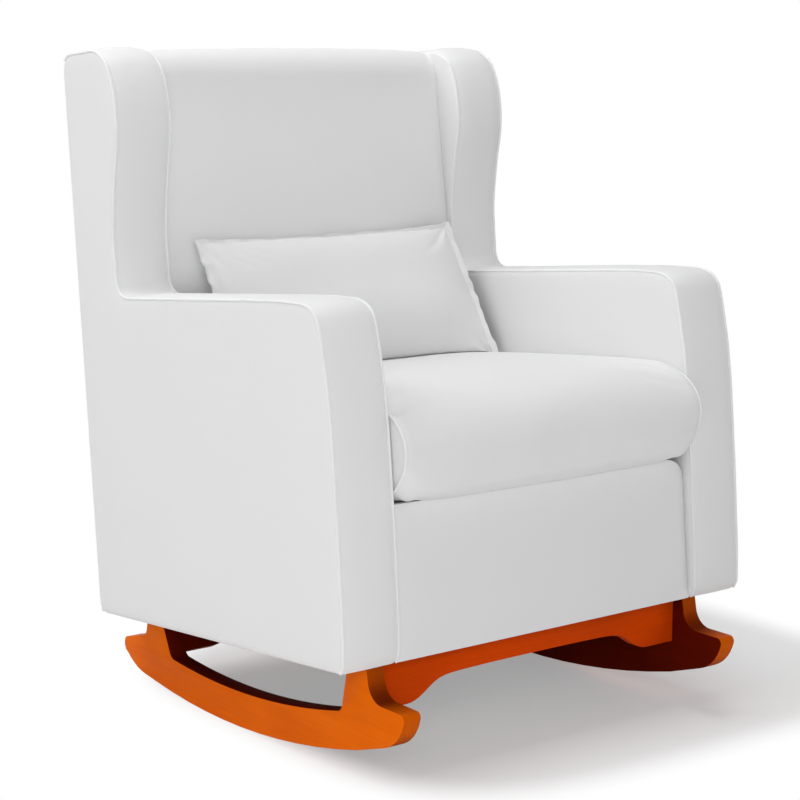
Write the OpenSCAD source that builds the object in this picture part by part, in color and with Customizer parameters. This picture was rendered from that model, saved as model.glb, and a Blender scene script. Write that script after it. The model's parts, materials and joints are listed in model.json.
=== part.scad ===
// Nursing rocking chair: a wing-back upholstered body, tilted back on two one-piece wooden rockers.
// Millimetres. +Z is up, the chair faces -Y and X runs across it, with X = 0 at its middle.
// The floor is Z = 0 and the origin is under the middle of the chair's plan.
// The upholstered body is square in its own frame (across, back, up) and leans back as a whole.

/* [Body] */
// Width over the two sides
body_w = 740; // [690:5:800]
// Depth of the sides along the body's bottom
body_d = 651; // [630:1:680]
// Height of the arm tops above the body's bottom
arm_h = 492; // [470:1:520]
// Height of the wings and back above the body's bottom
side_h = 862; // [840:1:920]
// Thickness of each arm and wing
arm_t = 94; // [88:1:110]
// How far the arm fronts stand ahead of the front panel
arm_proud = 14; // [8:1:18]
// How far the whole body leans back, in degrees
body_tilt = 5.1; // [3:0.1:7]
// Height of the body's bottom front edge above the floor
body_front_z = 176.2; // [172:0.2:190]

/* [Wings] */
// Depth of the wing just above the arm, back to front
wing_d = 121; // [115:1:127]
// How far the wing reaches forward of that below its top
wing_reach = 36; // [26:1:44]
// How far below its top the wing reaches furthest forward
wing_reach_drop = 117; // [107:1:127]
// How far below that the wing's front edge is hollow
wing_hollow_drop = 113; // [100:1:125]
// Radius of the corner between arm and wing
wing_root_r = 28; // [18:1:40]
// Radius of the top back corner
top_corner_r = 24; // [12:1:30]

/* [Upholstery] */
// Thickness of the outer side and back panels
panel_t = 8; // [5:0.5:12]
// Thickness of the inner arm and wing panels
inner_panel_t = 8; // [5:0.5:12]
// Padding of the border over arm tops and wing tops
border_pad = 14; // [10:1:20]
// Padding of the border down the arm and wing fronts
border_front_pad = 26; // [20:1:32]
// Height of the seat deck above the body's bottom
deck_h = 212.5; // [205:0.5:225]
// Radius of the deck's corners beside the arms
deck_corner_r = 38; // [20:1:44]
// Depth of the back at the seat deck, without its crown
back_d = 124; // [122:1:134]
// Crown of the inside back at its middle
back_crown = 24; // [10:1:28]
// Width of the welt cord in the seams
welt_w = 5; // [3:0.5:6]
// How far the welt cord stands out of its seam
welt_out = 2.2; // [1:0.2:3]
// Thickness of the dust cover
dust_t = 1.2; // [0.8:0.1:2]

/* [Seat cushion] */
// Room between the side seams and the arms
cushion_side_gap = 4; // [2.5:0.5:7]
// Thickness at the side seams
cushion_t = 147; // [130:1:160]
// How far the rounded front overhangs the front panel
cushion_over = 45.5; // [30:0.5:55]
// How far the cushion's back lies ahead of the back's side edges
cushion_back_gap = 22; // [19:1:42]
// Crown of the top at its middle
cushion_crown = 9; // [4:0.5:12]
// How far the sides draw in between the corners
cushion_draw = 4; // [1:0.5:8]

/* [Lumbar pillow] */
// Room between the bottom corners and the arms
pillow_side_gap = 14; // [9:1:26]
// How much narrower the top edge is than the bottom edge
pillow_taper = 34; // [14:1:60]
// Height from edge to edge
pillow_h = 230; // [210:1:240]
// Thickness at the middle
pillow_t = 84; // [60:1:86]
// Width of the flat stitched edge
pillow_flange = 13; // [8:1:18]
// How far the bottom edge stands ahead of the back's side edges
pillow_back_gap = 122; // [121:1:142]
// Lean from upright in the body's frame, in degrees
pillow_lean = 25.8; // [24:0.1:30]

/* [Timber frame] */
// Thickness of the posts and rails of the sides
post_t = 30; // [22:1:36]
// Width of the front posts
front_post_w = 60; // [40:1:80]
// Width of the rear posts
rear_post_w = 60; // [44:1:62]
// Depth of the arm rails
arm_rail_h = 50; // [35:1:70]
// Thickness of the cross rails
rail_t = 25; // [18:1:28]
// Height of the seat rails' top edges
seat_rail_h = 185; // [165:1:190]
// Height of the lower and top back rails
back_rail_h = 60; // [40:1:80]
// Place of the lower back rail above the body's bottom
lower_rail_w = 300; // [250:5:340]
// Thickness of the plywood board inside the outside back
back_board_t = 6; // [4:0.5:9]
// Depth of the boards that take the base bolts
base_board_d = 100; // [90:1:120]
// Thickness of the boards that take the base bolts
base_board_t = 20; // [15:1:25]
// Legs of the corner blocks
block_leg = 60; // [40:1:80]
// Width of the webbing
webbing_w = 60; // [40:1:70]
// Thickness of the webbing
webbing_t = 3; // [2:0.5:4]

/* [Rockers] */
// Thickness of each rocker
rocker_t = 28.7; // [22:0.1:34]
// How far the rockers' outer faces lie in from the body's sides
rocker_inset = 60; // [50:1:70]
// Radius of the runners' underside
runner_r = 1413; // [1300:1:1700]
// Depth of the runners
runner_h = 54; // [46:1:58]
// How far ahead of the body's bottom back edge the runners touch the floor
contact_in = 240; // [211:1:246]
// Front end of the scroll
scroll_y = -63; // [-75:1:-55]
// Top of the scroll
scroll_z = 124.2; // [118:0.2:128]
// How far the tail runs back past the body's bottom back edge
tail_over = 30; // [14:1:49]
// Top of the tail at its end
tail_z = 61; // [58:0.5:64]
// Front edge of the front post at its top
front_foot_y = 23.7; // [15:0.1:30]
// Width of the front post at its top
front_foot_w = 40.5; // [34:0.5:48]
// How far ahead of the body's bottom back edge the front of the rear post lies at its top
rear_foot_in = 85; // [79:1:91]
// Width of the rear post at its top
rear_foot_w = 34; // [28:1:40]

/* [Crossrails and fasteners] */
// Thickness of the crossrails
crossrail_t = 20; // [16:1:24]
// Front face of the front crossrail, back from the body's front edge
front_rail_y = 40.1; // [36:0.1:42]
// Underside of the front crossrail's ends above the floor
front_lobe_z = 98; // [94:1:110]
// Underside of the front crossrail's middle above the floor
front_arch_z = 130.3; // [120:0.1:138]
// Width of the low ends of the front crossrail
lobe_w = 62; // [40:1:80]
// Height of the rear crossrail's low ends
rear_lobe_h = 66; // [60:1:72]
// Height of the rear crossrail's middle
rear_arch_h = 38; // [30:1:45]
// Depth of the mounting cleats
cleat_d = 42; // [34:1:46]
// Thickness of the mounting cleats
cleat_t = 28; // [22:1:34]
// Diameter of the base bolts
bolt_d = 8; // [6:1:10]
// Diameter of the dowels
dowel_d = 10; // [8:1:12]

/* [Hidden] */
$fn = 48;

// Colours of the materials
fabric = [0.89, 0.89, 0.89];
fabric_shade = [0.8, 0.8, 0.8];
lacquered = [0.8, 0.36, 0.09];
timber = [0.82, 0.69, 0.5];
foam = [0.95, 0.9, 0.7];
webbing = [0.35, 0.33, 0.3];
lining = [0.12, 0.12, 0.13];
steel = [0.7, 0.7, 0.72];

// Clearances: parts that run past each other, soft parts that lie on each other, and cut-through allowance
loose_gap = 0.3;
soft_gap = 0.4;
over = 1;

// Cylinders of the hidden dowels, bolts and nuts, and of their holes, have this many sides
fastener_sides = 12;

// Plane sizes that the pieces share, in the body's frame
half_w = body_w / 2;
inner_u = half_w - arm_t;
post_out_u = half_w - panel_t;
post_in_u = post_out_u - post_t;
front_v = border_front_pad - arm_proud;
back_v = body_d - panel_t;
back_edge_v = body_d - back_d;
wing_root_v = body_d - wing_d;
wing_reach_v = wing_root_v - wing_reach;
wing_reach_w = side_h - wing_reach_drop;
rear_post_v = back_v - rear_post_w;
top_w = side_h - border_pad;
arm_top_w = arm_h - border_pad;
rear_rail_v = back_v - back_board_t - rail_t;
side_top_w = seat_rail_h + webbing_t;
strap_top_w = seat_rail_h + 2 * webbing_t;
pad_back_v = rear_rail_v - webbing_t;

// Points, lines and rounded outlines
function xy(p) = [p[0], p[1]];
function unit(v) = v / norm(v);
function cross2(a, b) = a[0] * b[1] - a[1] * b[0];
function left_of(e) = [-e[1], e[0]];

// Arc that replaces the corner p1 = [x, y, radius] of a polygon, in steps of a given angle
function corner(p0, p1, p2, step) =
    let (
        e1 = unit(xy(p1) - xy(p0)),
        e2 = unit(xy(p2) - xy(p1)),
        turn = atan2(cross2(e1, e2), e1 * e2),
        start = xy(p1) - e1 * p1[2] * tan(abs(turn) / 2),
        centre = start + sign(turn) * p1[2] * left_of(e1),
        a0 = atan2(start[1] - centre[1], start[0] - centre[0]),
        n = max(1, ceil(abs(turn) / step))
    )
    p1[2] <= 0
        ? [xy(p1)]
        : [for (k = [0:n]) centre + p1[2] * [cos(a0 + turn * k / n), sin(a0 + turn * k / n)]];

// Polygon whose corners [x, y, radius] are rounded
function rounded(pts, step = 8) =
    let (n = len(pts))
    [for (i = [0:n - 1]) each corner(pts[(i + n - 1) % n], pts[i], pts[(i + 1) % n], step)];

// Polygon moved inwards by d[i] along the edge that leaves corner i, for corners in counter-clockwise order
function inset(pts, d) =
    let (n = len(pts))
    [for (i = [0:n - 1])
        let (
            before = (i + n - 1) % n,
            e1 = unit(xy(pts[i]) - xy(pts[before])),
            e2 = unit(xy(pts[(i + 1) % n]) - xy(pts[i])),
            n1 = left_of(e1),
            n2 = left_of(e2),
            along = (d[i] - d[before] * (n1 * n2)) / (e1 * n2),
            p = xy(pts[i]) + n1 * d[before] + e1 * along,
            r = pts[i][2] - sign(cross2(e1, e2)) * min(d[i], d[before])
        )
        [p[0], p[1], max(r, 0)]];

// Profile of the sides, seen from the right of the chair: back to the right, up upwards
wing_top_back = 54;
wing_top_front = 18;
wing_top_drop = 15;
wing_top_radii = [36, 40];
wing_reach_r = 90;
wing_hollow_r = 130;
arm_level_v = 160;
arm_fall = 5;
arm_front_back = 3;
arm_front_r = 24;
arm_bulge = 1;
arm_bulge_drop = 102;
arm_bulge_r = 260;
foot_corner_r = 6;
back_foot_r = 18;
side_corners = [
    [-arm_proud, 0, foot_corner_r],
    [body_d, 0, back_foot_r],
    [body_d, side_h, top_corner_r],
    [wing_reach_v + wing_top_back, side_h, wing_top_radii[0]],
    [wing_reach_v + wing_top_front, side_h - wing_top_drop, wing_top_radii[1]],
    [wing_reach_v, wing_reach_w, wing_reach_r],
    [wing_root_v, wing_reach_w - wing_hollow_drop, wing_hollow_r],
    [wing_root_v, arm_h, wing_root_r],
    [arm_level_v, arm_h, 0],
    [arm_front_back, arm_h - arm_fall, arm_front_r],
    [-arm_proud - arm_bulge, arm_h - arm_bulge_drop, arm_bulge_r]
];
// Padding under each edge of the profile, from the bottom edge on round
wing_front_pad = border_front_pad - 6;
arm_corner_pad = border_pad + 4;
pad_depths = [dust_t, panel_t, border_pad, border_pad, wing_front_pad, wing_front_pad,
    wing_front_pad, border_pad, border_pad, arm_corner_pad, border_front_pad];
welt_depths = [for (i = [1:len(side_corners)]) -welt_out];

side_outline = rounded(side_corners);
frame_outline = rounded(inset(side_corners, pad_depths));
welt_outline = rounded(inset(side_corners, welt_depths));

// Base: the rockers' profile in the chair's own frame, back to the right and up upwards
function body_plane_z(y) = body_front_z - y * tan(body_tilt);
facet = 2;
contact_y = body_d - contact_in;
tail_y = body_d + tail_over;
rear_foot_y = body_d - rear_foot_in;
runner_centre_z = runner_r * cos(facet / 2);
function runner_z(y) = runner_centre_z - sqrt(pow(runner_r, 2) - pow(y - contact_y, 2));
function runner_point(a, r) = [contact_y + r * sin(a), runner_centre_z - r * cos(a), 0];
scroll_run = 51;
scroll_heel = 12;
scroll_heel_r = 64;
scroll_tip_r = 8;
scroll_fillet_r = 30;
tail_run = 92;
tail_lip = 15;
tail_lip_r = 14;
tail_set = 4;
tail_top_r = 8;
tail_rise = 17;
tail_rise_r = 18;
foot_fillet_r = 14;
scroll_facets = floor(asin((contact_y - scroll_y - scroll_run) / runner_r) / facet - 0.5);
tail_facets = floor(asin((tail_y - tail_run - contact_y) / runner_r) / facet - 0.5);
front_foot_flare = 9.2;
front_foot_wide = 66.5;
rear_foot_flare = 32;
rear_foot_wide = 76.5;
front_foot_front = front_foot_y - front_foot_flare;
front_foot_back = front_foot_front + front_foot_wide;
rear_foot_front = rear_foot_y - rear_foot_flare;
rear_foot_back = rear_foot_front + rear_foot_wide;
inner_r = runner_r - runner_h;
function top_facet_a(y) = asin((y - contact_y) / inner_r);
top_a0 = top_facet_a(front_foot_back);
top_a1 = top_facet_a(rear_foot_front);
top_count = 16;
rear_foot_z = body_plane_z(rear_foot_y);
rear_lean = atan2(rear_foot_flare, rear_foot_z - runner_z(rear_foot_front) - runner_h);

rocker_corners = concat(
    [for (k = [-scroll_facets:tail_facets]) runner_point(facet * (k + 0.5), runner_r)],
    [
        [tail_y, runner_z(tail_y) + tail_lip, tail_lip_r],
        [tail_y - tail_set, tail_z, tail_top_r],
        [rear_foot_back, tail_z + tail_rise, tail_rise_r],
        [rear_foot_y + rear_foot_w, body_plane_z(rear_foot_y + rear_foot_w), 0],
        [rear_foot_y, rear_foot_z, 0]
    ],
    [for (k = [0:top_count])
        let (p = runner_point(top_a1 + (top_a0 - top_a1) * k / top_count, inner_r))
        [p[0], p[1], k == 0 || k == top_count ? foot_fillet_r : 0]],
    [
        [front_foot_y + front_foot_w, body_plane_z(front_foot_y + front_foot_w), 0],
        [front_foot_y, body_plane_z(front_foot_y), 0],
        [front_foot_front, scroll_z, scroll_fillet_r],
        [scroll_y, scroll_z, scroll_tip_r],
        [scroll_y + scroll_heel, runner_z(scroll_y + scroll_heel) + 2, scroll_heel_r]
    ]
);
rocker_outline = rounded(rocker_corners);

// The origin is under the middle of the plan, between the scroll's tip and the top back corner
front_tip_y = min([for (p = rocker_outline) p[0]]);
back_tip_y = max([for (p = side_outline) p[0] * cos(body_tilt) + p[1] * sin(body_tilt)]);
mid_y = (front_tip_y + back_tip_y) / 2;

// Placing: base pieces stand in the chair's frame, body pieces in the tilted frame (across, back, up)
module on_base() {
    translate([0, -mid_y, 0]) children();
}
module in_body() {
    on_base() translate([0, 0, body_front_z]) rotate([-body_tilt, 0, 0]) children();
}
// A side profile drawn as (back, up), made solid from one place across to the next
module across(u0, u1) {
    translate([u0, 0, 0]) rotate([90, 0, 90]) linear_extrude(u1 - u0) children();
}
// A cross-section drawn as (across, up), made solid from front to back
module along(v0, v1) {
    translate([0, v1, 0]) rotate([90, 0, 0]) linear_extrude(v1 - v0) children();
}
module both_sides() {
    children();
    mirror([1, 0, 0]) children();
}
// Rectangle between two corners
module span2(a, b) {
    translate(a) square(b - a);
}
// Block between two corners
module span3(a, b) {
    translate(a) cube(b - a);
}

// Rockers and crossrails
rocker_out_x = half_w - rocker_inset;
rocker_in_x = rocker_out_x - rocker_t;
dowel_deep = 20;
dowel_long = 45;
dowel_end = 16;
front_dowel_step = 34;
rear_dowel_step = 26;
front_dowel_z = [front_lobe_z + dowel_end, front_lobe_z + dowel_end + front_dowel_step];
rear_dowel_h = [dowel_end, dowel_end + rear_dowel_step];
front_rail_mid_y = front_rail_y + crossrail_t / 2;
rear_rail_set = 2;
big = 2000;

// Places of the dowels in the (back, up) plane
module at_dowels() {
    for (z = front_dowel_z)
        translate([0, front_rail_mid_y, z]) children();
    at_rear_rail()
        for (h = rear_dowel_h)
            translate([0, crossrail_t / 2, h]) children();
}
// Frame of the leaning rear crossrail: X across, Y through its thickness, Z up its height from its underside
module at_rear_rail() {
    translate([0, rear_foot_y, rear_foot_z])
        rotate([-rear_lean, 0, 0])
            translate([0, rear_rail_set, -rear_lobe_h]) children();
}
module rod(x0, x1, d) {
    translate([x0, 0, 0]) rotate([0, 90, 0]) cylinder(d = d, h = x1 - x0, $fn = fastener_sides);
}
module rocker_body() {
    on_base() difference() {
        across(-rocker_out_x, -rocker_in_x) polygon(rocker_outline);
        at_dowels() rod(-rocker_in_x - dowel_deep, -rocker_in_x + over, dowel_d);
    }
}
// Lower edge with low ends and a long arch, drawn as (across, up)
arch_run = 52;
arch_radii = [16, 24];
module arched(low, arch, top) {
    polygon(rounded([
        [-rocker_in_x, low, 0],
        [-rocker_in_x + lobe_w, low, arch_radii[0]],
        [-rocker_in_x + lobe_w + arch_run, arch, arch_radii[1]],
        [rocker_in_x - lobe_w - arch_run, arch, arch_radii[1]],
        [rocker_in_x - lobe_w, low, arch_radii[0]],
        [rocker_in_x, low, 0],
        [rocker_in_x, top, 0],
        [-rocker_in_x, top, 0]
    ]));
}
// Everything below the body's bottom
module below_body() {
    translate([0, 0, body_front_z]) rotate([-body_tilt, 0, 0])
        translate([-big / 2, -big / 2, -big]) cube([big, big, big]);
}
module front_crossrail() color(lacquered) on_base() difference() {
    intersection() {
        along(front_rail_y, front_rail_y + crossrail_t) arched(front_lobe_z, front_arch_z, body_front_z);
        below_body();
    }
    both_sides() at_dowels() rod(-rocker_in_x - over, -rocker_in_x + dowel_long - dowel_deep, dowel_d);
}
module rear_crossrail() color(lacquered) on_base() difference() {
    intersection() {
        at_rear_rail() along(0, crossrail_t) arched(0, rear_lobe_h - rear_arch_h, rear_lobe_h + crossrail_t);
        below_body();
    }
    both_sides() at_dowels() rod(-rocker_in_x - over, -rocker_in_x + dowel_long - dowel_deep, dowel_d);
}
module crossrail_dowels() color(timber) on_base() both_sides()
    at_dowels() rod(-rocker_in_x - dowel_deep, -rocker_in_x + dowel_long - dowel_deep, dowel_d);

// Cleats behind the crossrails, and the bolts that hold the body down on them
bolt_in = 81.3;
bolt_u = rocker_in_x - bolt_in;
front_cleat_y = front_rail_y + crossrail_t;
rear_cleat_y = rear_foot_y + rear_rail_set / cos(rear_lean);
function plane_v(y) = y / cos(body_tilt);
front_cleat_v = plane_v(front_cleat_y);
rear_cleat_v = plane_v(rear_cleat_y);
front_bolt_v = front_cleat_v + cleat_d / 2;
rear_bolt_v = rear_cleat_v - cleat_d / 2;
tee_r = bolt_d / 2 + 1.5;
tee_flange_t = 1.5;
tee_deep = 11;
bolt_head_t = 5;
bolt_end = 6;
bolt_hole_r = bolt_d / 2 + 0.5;
tee_top_w = dust_t + base_board_t;

module at_bolts(v) {
    for (u = [-bolt_u, bolt_u])
        translate([u, v, 0]) children();
}
// Cylinder of a fastener or of its hole, from one height to another
module pin(w0, w1, r) {
    translate([0, 0, w0]) cylinder(r = r, h = w1 - w0, $fn = fastener_sides);
}
// Cleat under the body, drilled for its bolts; its end at the crossrail is trimmed to the crossrail's face
module cleat_block(v0, v1, bolt_v) {
    in_body() difference() {
        span3([-rocker_in_x, v0, -cleat_t], [rocker_in_x, v1, 0]);
        at_bolts(bolt_v) pin(-cleat_t - over, over, bolt_hole_r);
    }
}
module front_mounting_cleat() color(timber) intersection() {
    cleat_block(front_cleat_v - cleat_t, front_cleat_v + cleat_d, front_bolt_v);
    on_base() span3([-big / 2, front_cleat_y, 0], [big / 2, big, big]);
}
module rear_mounting_cleat() color(timber) intersection() {
    cleat_block(rear_cleat_v - cleat_d, rear_cleat_v + cleat_t, rear_bolt_v);
    on_base() at_rear_rail() span3([-big / 2, -big, -big], [big / 2, 0, big]);
}
module bolt_pair(v) {
    at_bolts(v) {
        pin(-cleat_t - bolt_head_t, -cleat_t, bolt_d);
        pin(-cleat_t - bolt_head_t / 2, tee_top_w + bolt_end, bolt_d / 2);
    }
}
module base_bolts() color(steel) in_body() {
    bolt_pair(front_bolt_v);
    bolt_pair(rear_bolt_v);
}
module tee_pair(v) {
    at_bolts(v) difference() {
        union() {
            pin(tee_top_w, tee_top_w + tee_flange_t, bolt_d + 3);
            pin(tee_top_w - tee_deep, tee_top_w + tee_flange_t / 2, tee_r);
        }
        pin(tee_top_w - tee_deep - over, tee_top_w + tee_flange_t + over, bolt_d / 2 + 0.05);
    }
}
module base_tee_nuts() color(steel) in_body() {
    tee_pair(front_bolt_v);
    tee_pair(rear_bolt_v);
}

// Timber of the sides: a profile between two corners (back, up), trimmed to the padded outline
module side_board(a, b) {
    in_body() across(-post_out_u, -post_in_u) intersection() {
        polygon(frame_outline);
        span2(a, b);
    }
}
front_post_back_v = front_v + front_post_w;
module front_post() color(timber)
    side_board([-arm_proud, dust_t], [front_post_back_v, arm_h]);
module side_rail() color(timber)
    side_board([front_post_back_v, dust_t], [rear_post_v, side_top_w]);
module arm_rail() color(timber)
    side_board([front_post_back_v, arm_top_w - arm_rail_h], [rear_post_v, arm_top_w]);
module wing_board() color(timber)
    side_board([0, arm_top_w], [rear_post_v, side_h]);
module rear_post() color(timber)
    side_board([rear_post_v, dust_t], [body_d, side_h]);

// Rails between the sides
module cross_rail(v0, t, w0, w1) {
    in_body() span3([-post_in_u, v0, w0], [post_in_u, v0 + t, w1]);
}
module front_seat_rail() color(timber)
    cross_rail(front_v, rail_t, dust_t, seat_rail_h);
module rear_seat_rail() color(timber)
    cross_rail(rear_rail_v, rail_t, dust_t, seat_rail_h);
module lower_back_rail() color(timber)
    cross_rail(rear_rail_v, rail_t, lower_rail_w, lower_rail_w + back_rail_h);
module top_back_rail() color(timber) intersection() {
    cross_rail(rear_rail_v, rail_t, top_w - back_rail_h, top_w);
    in_body() across(-half_w, half_w) polygon(frame_outline);
}
module outside_back_board() color(timber) in_body()
    across(-post_in_u, post_in_u) intersection() {
        polygon(frame_outline);
        span2([back_v - back_board_t, dust_t], [back_v, side_h]);
    }

// Boards under the seat that the base bolts go into
module base_board(v0, bolt_v) {
    in_body() difference() {
        span3([-post_in_u, v0, dust_t], [post_in_u, v0 + base_board_d, dust_t + base_board_t]);
        at_bolts(bolt_v) pin(dust_t - over, tee_top_w + over, bolt_hole_r);
        at_bolts(bolt_v) pin(tee_top_w - tee_deep, tee_top_w + over, tee_r);
    }
}
module front_base_board() color(timber)
    base_board(front_v + rail_t, front_bolt_v);
module rear_base_board() color(timber)
    base_board(rear_rail_v - base_board_d, rear_bolt_v);

module corner_blocks() color(timber) in_body() both_sides() {
    translate([-post_in_u, front_v + rail_t, seat_rail_h - block_leg])
        linear_extrude(block_leg) polygon([[0, 0], [block_leg, 0], [0, block_leg]]);
    translate([-post_in_u, rear_rail_v, seat_rail_h - block_leg])
        linear_extrude(block_leg) polygon([[0, 0], [0, -block_leg], [block_leg, 0]]);
}

// Webbing: straps front to back, straps across on top of them, and straps up the back
strap_half_u = inner_u - webbing_w;
module seat_webbing_lengthwise() color(webbing) in_body()
    for (k = [-2:2])
        translate([k * strap_half_u / 2 - webbing_w / 2, front_v, seat_rail_h])
            cube([webbing_w, rear_rail_v + rail_t - front_v, webbing_t]);
cross_bays = 4;
cross_bay = (rear_post_v - front_post_back_v) / cross_bays;
cross_half_u = post_out_u - panel_t / 2;
module seat_webbing_crosswise() color(webbing) in_body()
    for (k = [0:cross_bays - 1])
        translate([-cross_half_u, front_post_back_v + k * cross_bay + (cross_bay - webbing_w) / 2, side_top_w])
            cube([2 * cross_half_u, webbing_w, webbing_t]);
module back_webbing() color(webbing) in_body()
    for (k = [-2:2])
        translate([k * strap_half_u / 2 - webbing_w / 2, pad_back_v, lower_rail_w])
            cube([webbing_w, webbing_t, top_w - lower_rail_w]);

// Foam and covers of the sides
inner_panel_u = inner_u + inner_panel_t;
module side_foam() color(foam) in_body()
    across(-post_in_u, -inner_panel_u) intersection() {
        polygon(frame_outline);
        span2([-arm_proud, strap_top_w], [pad_back_v, side_h]);
    }
module outer_panel() color(fabric) in_body()
    across(-half_w, -post_out_u) polygon(side_outline);
module border() color(fabric) in_body()
    across(-post_out_u, -inner_panel_u) difference() {
        polygon(side_outline);
        polygon(frame_outline);
        span2([front_v, -over], [body_d + over, strap_top_w]);
        span2([back_v, -over], [body_d + over, side_h + over]);
    }
module inner_panel() color(fabric) in_body()
    across(-inner_panel_u, -inner_u) intersection() {
        polygon(side_outline);
        union() {
            span2([-big, strap_top_w], [back_v, side_h]);
            span2([-big, 0], [front_v, strap_top_w + over]);
        }
        difference() {
            span2([-big, 0], [back_v, side_h]);
            span2([pad_back_v, -over], [back_v + over, top_w]);
        }
    }
// Cord round the exposed edges of a panel, from the arm's foot over arm and wing to the back
module welt(u0) {
    in_body() across(u0, u0 + welt_w) difference() {
        polygon(welt_outline);
        polygon(side_outline);
        span2([-big, -big], [big, 0]);
        span2([front_v, -big], [big, strap_top_w]);
        span2([back_v, -big], [big, big]);
    }
}
module outer_welt() color(fabric_shade)
    welt(-post_out_u - welt_w / 2);
module inner_welt() color(fabric_shade)
    welt(-inner_panel_u - welt_w / 2);

// Panels between the arms
deck_corners = [
    [-inner_u, 0, 0],
    [inner_u, 0, 0],
    [inner_u, deck_h, deck_corner_r],
    [-inner_u, deck_h, deck_corner_r]
];
module front_panel() color(fabric) in_body()
    along(0, front_v) polygon(rounded(deck_corners));
module seat_deck() color(fabric_shade) in_body()
    along(front_v, pad_back_v) intersection() {
        polygon(rounded(deck_corners));
        span2([-half_w, strap_top_w], [half_w, side_h]);
    }
module back_top_border() color(fabric) in_body()
    across(-inner_u, inner_u) intersection() {
        polygon(side_outline);
        span2([back_face_v(top_w), top_w], [back_v, side_h + over]);
    }
module outside_back() color(fabric) in_body()
    across(-post_out_u, post_out_u) intersection() {
        polygon(side_outline);
        span2([back_v, -over], [body_d + over, side_h + over]);
    }
module dust_cover() color(lining) in_body() difference() {
    span3([-post_out_u, front_v, 0], [post_out_u, back_v, dust_t]);
    at_bolts(front_bolt_v) pin(-over, dust_t + over, bolt_hole_r);
    at_bolts(rear_bolt_v) pin(-over, dust_t + over, bolt_hole_r);
}

// Closed skin between two grids of points that share their counts, front and back
module padded_sheet(front_grid, back_grid, nx, ny) {
    at = function (i, j) i * (ny + 1) + j;
    m = (nx + 1) * (ny + 1);
    cells = [for (i = [0:nx - 1], j = [0:ny - 1]) [at(i, j), at(i + 1, j), at(i + 1, j + 1), at(i, j + 1)]];
    rim = concat(
        [for (i = [0:nx - 1]) at(i, 0)],
        [for (j = [0:ny - 1]) at(nx, j)],
        [for (i = [nx:-1:1]) at(i, ny)],
        [for (j = [ny:-1:1]) at(0, j)]
    );
    rn = len(rim);
    faces = concat(
        [for (c = cells) each [[c[0], c[2], c[1]], [c[0], c[3], c[2]]]],
        [for (c = cells) each [[c[0] + m, c[1] + m, c[2] + m], [c[0] + m, c[2] + m, c[3] + m]]],
        [for (k = [0:rn - 1])
            let (a = rim[k], b = rim[(k + 1) % rn])
            each [[a, b, b + m], [a, b + m, a + m]]]
    );
    polyhedron(points = concat(front_grid, back_grid), faces = faces);
}
// Rise of a stuffed form towards its middle: 0 at the edge, 1 at the middle
function swell(t, blunt) = pow(max(0, 1 - pow(abs(t), blunt)), 0.5);

// Inside back: crowned between the wings, its edges leaning with the back
back_grid_x = 24;
back_grid_y = 24;
back_half_u = inner_u - loose_gap;
back_rake = 0.0385;
function back_face_v(w) = back_edge_v + (w - deck_h) * back_rake;
function even(i, n) = 2 * i / n - 1;
function edge_dense(t) = sin(90 * t);
function back_front_point(i, j) =
    let (
        s = edge_dense(even(i, back_grid_x)),
        h = edge_dense(even(j, back_grid_y)),
        w = deck_h + (top_w - deck_h) * (h + 1) / 2
    )
    [s * back_half_u, back_face_v(w) - back_crown * swell(s, 3) * swell(h, 4), w];
module inside_back() color(fabric) in_body() {
    front = [for (i = [0:back_grid_x], j = [0:back_grid_y]) back_front_point(i, j)];
    back = [for (p = front) [p[0], pad_back_v, p[2]]];
    padded_sheet(front, back, back_grid_x, back_grid_y);
}

// Seat cushion: one cover wrapped over top, rounded front and bottom, with a gusset at each side
cushion_h = inner_u - cushion_side_gap;
cushion_back_v = back_edge_v - cushion_back_gap;
cushion_low = deck_h + soft_gap;
cushion_front_v = -cushion_over;
nose_top = 108;
nose_bottom = 86;
heel = 34;
cushion_rings = 24;
function cushion_depth(v) = (v - cushion_front_v) / (cushion_back_v - cushion_front_v);
function cushion_rise(s, v) =
    cushion_crown * (1 - pow(abs(s), 4)) * pow(sin(180 * min(1, max(0, cushion_depth(v)))), 0.8);
function cushion_top(s, v) = cushion_low + cushion_t + cushion_rise(s, v);
function arc_points(cv, cw, rv, rw, a0, a1, n) =
    [for (k = [0:n - 1]) let (a = a0 + (a1 - a0) * k / n) [cv + rv * cos(a), cw + rw * sin(a)]];
// Section of the cushion, drawn in by g all round
function cushion_section(g) =
    let (
        half_t = cushion_t / 2 - g,
        mid = cushion_low + cushion_t / 2,
        f = cushion_front_v + g,
        b = cushion_back_v - g
    )
    concat(
        arc_points(f + nose_bottom, mid, -nose_bottom, half_t, -90, 0, 8),
        arc_points(f + nose_top, mid, -nose_top, half_t, 0, 90, 9),
        [for (k = [0:9]) [f + nose_top + (b - heel - f - nose_top) * k / 10, mid + half_t]],
        arc_points(b - heel, mid, heel, half_t, 90, -90, 10),
        [for (k = [0:6]) [b - heel + (f + nose_bottom - b + heel) * k / 7, mid - half_t]]
    );
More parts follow.
